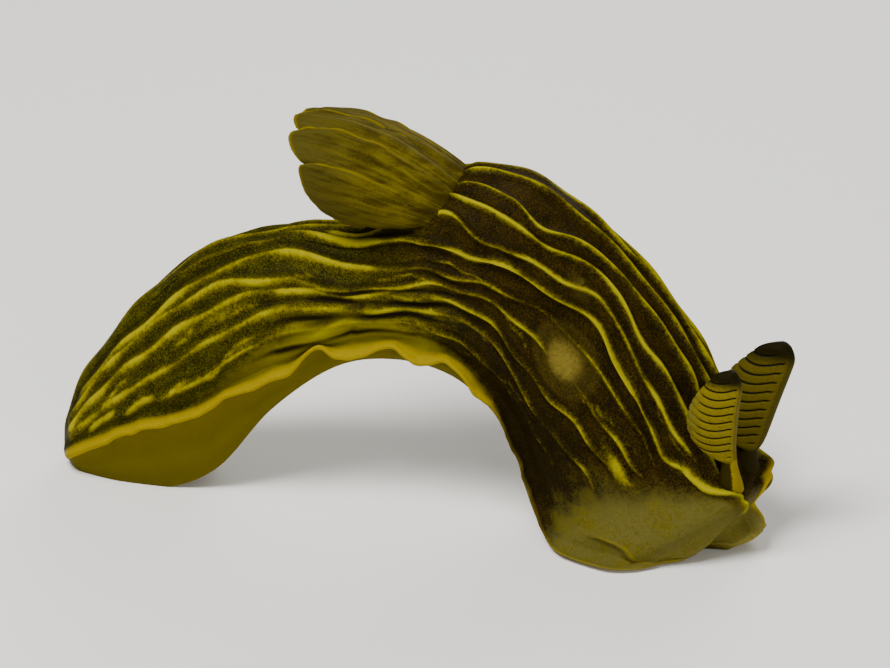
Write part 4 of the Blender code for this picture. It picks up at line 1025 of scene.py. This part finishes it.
class OBJECT_OT_slug_skin(bpy.types.Operator):
    """Make the skin of the body, head and foot"""
    bl_idname = "object.slug_skin"
    bl_label = "Skin"

    def execute(self, context):
        s = context.scene.slug_skin
        piece = new_piece("slug_skin", *slug_skin(s.rows, s.finer, s.proud), "skin_front")
        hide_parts("tail", "body_rear", "body_middle", "body_front", "head", "oral_veil",
                    "foot_tail", "foot_rear", "foot_middle", "foot_front", "foot_head")
        f = Finish("moist_ridged_skin", 0.5, **soft(0.12, 0.4, 1.0, 0.7, 0.2))
        grain, fleck = f.noise("grain", 15, 2.0, 0.6), f.noise("fleck", 5, 3.0, 0.6)
        cloud = f.noise("cloud", 1.1)
        rear, ridge, cheek = f.mark("rear"), f.mark("ridge"), f.mark("cheek")
        shade, furrow = f.mark("shade"), f.mark("furrow")
        # Ridges dimmed by the painted shade of the low front flank
        shaded_ridge = ridge * (1 - 0.5 * shade)
        sides = f.broken(shaded_ridge * (0.8 + 0.4 * cloud), fleck=0.6, grain=0.6)
        crests = f.broken(shaded_ridge * (0.62 + 0.7 * cloud), fleck=0.5, grain=0.3)
        near = f.broken(f.mark("near"), fleck=0.6, cloud=0.8).step(0.35, 1.2)
        near = near * (1 - cheek) * (1 - 0.7 * furrow)
        head = f.layers(
            s.cheek,
            (s.ridge_dull, (fleck + cloud - 0.5).step(0.4, 0.75) * 0.6),
            # painted light on the veil's lobes
            (s.lobe, f.mark("lobe") * 0.8),
            (s.cheek_speck, (grain + 0.3 * fleck).step(0.5, 0.95) * 0.45))
        sole = f.mix(f.broken(cloud, fleck=0.4).step(0.3, 0.75), s.ridge_dull, s.sole)
        f.feed("Base Color", f.layers(
            f.mix(rear, s.valley, s.valley_rear),
            (f.mix(rear, s.speck, s.speck_rear), (grain + 0.35 * cloud).step(0.56, 0.88)),
            # painted shade of the low front flank, partly its own darker colour
            (s.valley, shade * 0.7),
            # painted shadow in the crevices above the ridges
            (s.valley, (furrow * (0.6 + fleck)).clamped() * 0.9),
            (s.ridge_dull, sides.step(0.2, 0.75)),
            (s.ridge_bright, crests.step(0.45, 0.95)),
            (head, f.broken(cheek, cloud=0.65, fleck=0.5, grain=0.4).step(0.2, 0.9) * (1 - ridge * 0.85)),
            (s.pale, (f.mark("pale") * f.broken(0.3 + 1.4 * fleck, grain=1.2)).clamped()),
            (sole, f.mark("sole")),
            (s.ridge_dull, near * 0.9),
            (s.ridge_bright, near * ridge * 0.6),
            # painted shade in the creases of the folds
            (s.valley, (furrow * f.mark("fold") * (0.7 + fleck)).clamped()),
            (s.foot_edge, (f.mark("rim") * (0.71 + 0.3 * fleck)).clamped()),
            (s.foot_edge, f.broken(f.mark("edge"), fleck=0.2).step(0.2, 0.9))))
        f.feed("Roughness", 0.5 + 0.2 * fleck)
        f.bump(grain * 0.6 + fleck, 0.035, 0.7)
        piece.data.materials.append(f.material)
        return {"FINISHED"}


class OBJECT_OT_slug_gill(bpy.types.Operator):
    """Make the gill's leaves and the papilla between them"""
    bl_idname = "object.slug_gill"
    bl_label = "Gill"

    def execute(self, context):
        s = context.scene.slug_gill
        shape = gill(s.rows, s.columns, *in_mm(s.thickest, s.thinnest))
        piece = new_piece("gill_fan", *shape, "gill_leaf")
        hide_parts("gill")
        f = Finish("gill_leaf", 0.6, **soft(0.2, 0.5, 1.0, 0.8, 0.25))
        grain, cloud = f.noise("grain", 12, 2.0, 0.6), f.noise("cloud", 2.0, 3.0, 0.6, (0.3, 1, 1.2))
        streak, tip = f.streaks("across", "tip", 7, 1.6), f.mark("tip")
        f.feed("Base Color", f.layers(
            s.leaf_dark,
            (s.leaf, f.broken(cloud * 0.5 + streak * 0.6, grain=0.3).step(0.38, 0.7)),
            (s.vein, (f.mark("vein") * (0.4 + cloud)).clamped() * 0.6),
            # painted shade at the roots, where the leaves meet the body
            (s.leaf_dark, f.broken(f.mark("root"), cloud=0.4).step(0.3, 1.0) * 0.8),
            (s.vein, (cloud * 0.6 + streak * 0.5).step(0.5, 0.75) * (1 - tip) * 0.6),
            # painted shadow on the side that lies under the neighbouring leaf
            (s.leaf_dark, (f.mark("under") * (0.35 + 0.7 * cloud)).clamped() * 0.45),
            (s.tip, f.broken(tip, cloud=0.8).step(0.45, 1.0) * 0.7),
            (s.edge, f.broken(f.mark("edge"), grain=0.3).step(0.2, 0.9) * (0.3 + cloud))))
        f.feed("Roughness", 0.6 + 0.16 * cloud)
        f.bump(grain, 0.02)
        piece.data.materials.append(f.material)
        return {"FINISHED"}


class OBJECT_OT_slug_rhinophores(bpy.types.Operator):
    """Make the pair of rhinophores"""
    bl_idname = "object.slug_rhinophores"
    bl_label = "Rhinophores"

    def execute(self, context):
        s = context.scene.slug_rhinophores
        f = Finish("rhinophore_flesh", 0.6, **soft(0.15, 0.4, 1.0, 0.8, 0.3))
        grain, cloud = f.noise("grain", 11, 2.0, 0.6), f.noise("cloud", 2.2, 2.0)
        f.feed("Base Color", f.layers(
            s.band,
            (s.leaf, f.broken(f.mark("leaf"), cloud=0.5).step(0.6, 1.0)),
            (s.dark, f.broken(f.mark("front"), cloud=0.5).step(0.3, 1.0) * 0.35),
            (s.dark, f.broken(f.mark("tip"), grain=0.3).step(0.1, 0.9)),
            # stalk darkened with painted shade of the hollow round it
            (s.stalk, f.mark("stalk")),
            (s.patch, f.broken(f.mark("patch"), cloud=1.2, grain=0.5).step(0.4, 0.8)),
            (s.dark, (grain + 0.2 * cloud).step(0.62, 0.8) * 0.35),
            # far club darkened, partly with painted shade and partly in its own darker colour
            (s.dark, f.mark("dim")),
            (s.line, f.mark("line").step(0.25, 0.85))))
        f.bump(grain, 0.02)
        for name in RHINOPHORES:
            shape = rhinophore(name, s.rows, s.sides, *in_mm(s.radius, s.depth))
            piece = new_piece(name + "_skin", *shape, "rhinophore_flesh")
            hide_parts(name)
            piece.data.materials.append(f.material)
        return {"FINISHED"}


class OBJECT_OT_slug_stage(bpy.types.Operator):
    """Make the floor, the lights and the camera"""
    bl_idname = "object.slug_stage"
    bl_label = "Stage"

    def execute(self, context):
        s = context.scene.slug_stage
        collection = context.scene.collection
        mesh = bpy.data.meshes.new("floor")
        corners = [(x * FLOOR_REACH, y * FLOOR_REACH, 0) for x, y in ((-1, -1), (1, -1), (1, 1), (-1, 1))]
        mesh.from_pydata(corners, [], [(0, 1, 2, 3)])
        floor = bpy.data.objects.new("floor", mesh)
        collection.objects.link(floor)
        f = Finish("plain_floor", 0.85, 0.2)
        darker = tuple(FLOOR_DAPPLE * c for c in s.floor)
        f.feed("Base Color", f.mix(f.noise("cloud", 0.02), s.floor, darker))
        mesh.materials.append(f.material)

        world = bpy.data.worlds.new("studio")
        world.use_nodes = True
        sky = world.node_tree.nodes["Background"].inputs
        sky["Color"].default_value = SKY
        sky["Strength"].default_value = SKY_STRENGTH * s.light
        context.scene.world = world

        aim = Vector(VIEW_AIM) - Vector((*CENTRE, 0))
        azimuth, elevation = math.radians(VIEW_AZIMUTH), math.radians(VIEW_ELEVATION)
        back = Vector((math.sin(azimuth) * math.cos(elevation), -math.cos(azimuth) * math.cos(elevation),
                       math.sin(elevation)))
        right = Vector((math.cos(azimuth), math.sin(azimuth), 0))
        for name, place, size, power in LAMPS:
            lamp = bpy.data.lights.new(name, "AREA")
            lamp.size = size * MM
            lamp.energy = power * s.light
            light = bpy.data.objects.new(name, lamp)
            light.location = Vector(place) * MM
            light.rotation_euler = (aim * MM - light.location).to_track_quat("-Z", "Y").to_euler()
            collection.objects.link(light)

        lens = bpy.data.cameras.new("camera")
        lens.sensor_width = SENSOR
        lens.lens = SENSOR * VIEW_DISTANCE / VIEW_WIDTH
        lens.clip_start = CLIP_START * MM
        camera = bpy.data.objects.new("camera", lens)
        camera.location = (aim + VIEW_ASIDE * right + VIEW_DISTANCE * back) * MM
        camera.rotation_euler = back.to_track_quat("Z", "Y").to_euler()
        collection.objects.link(camera)
        context.scene.camera = camera
        return {"FINISHED"}


class VIEW3D_PT_slug(bpy.types.Panel):
    """Settings and pieces of the sea slug"""
    bl_label = "Sea slug"
    bl_idname = "VIEW3D_PT_slug"
    bl_space_type = "VIEW_3D"
    bl_region_type = "UI"
    bl_category = "Sea slug"

    def draw(self, context):
        for name, group, operator in PIECES:
            box = self.layout.box()
            settings = getattr(context.scene, name)
            for key in group.__annotations__:
                box.prop(settings, key)
            box.operator(operator.bl_idname)


PIECES = (
    ("slug_skin", SlugSkinSettings, OBJECT_OT_slug_skin),
    ("slug_gill", SlugGillSettings, OBJECT_OT_slug_gill),
    ("slug_rhinophores", SlugRhinophoreSettings, OBJECT_OT_slug_rhinophores),
    ("slug_stage", SlugStageSettings, OBJECT_OT_slug_stage),
)
CLASSES = (*(made for _, *pair in PIECES for made in pair), VIEW3D_PT_slug)


def register():
    for made in CLASSES:
        bpy.utils.register_class(made)
    for name, group, _ in PIECES:
        setattr(bpy.types.Scene, name, PointerProperty(type=group))


def unregister():
    for name, _, _ in PIECES:
        delattr(bpy.types.Scene, name)
    for made in reversed(CLASSES):
        bpy.utils.unregister_class(made)


def main():
    """Make everything in order."""
    register()
    bpy.ops.object.slug_skin()
    bpy.ops.object.slug_gill()
    bpy.ops.object.slug_rhinophores()
    bpy.ops.object.slug_stage()


if __name__ == "__main__":
    main()
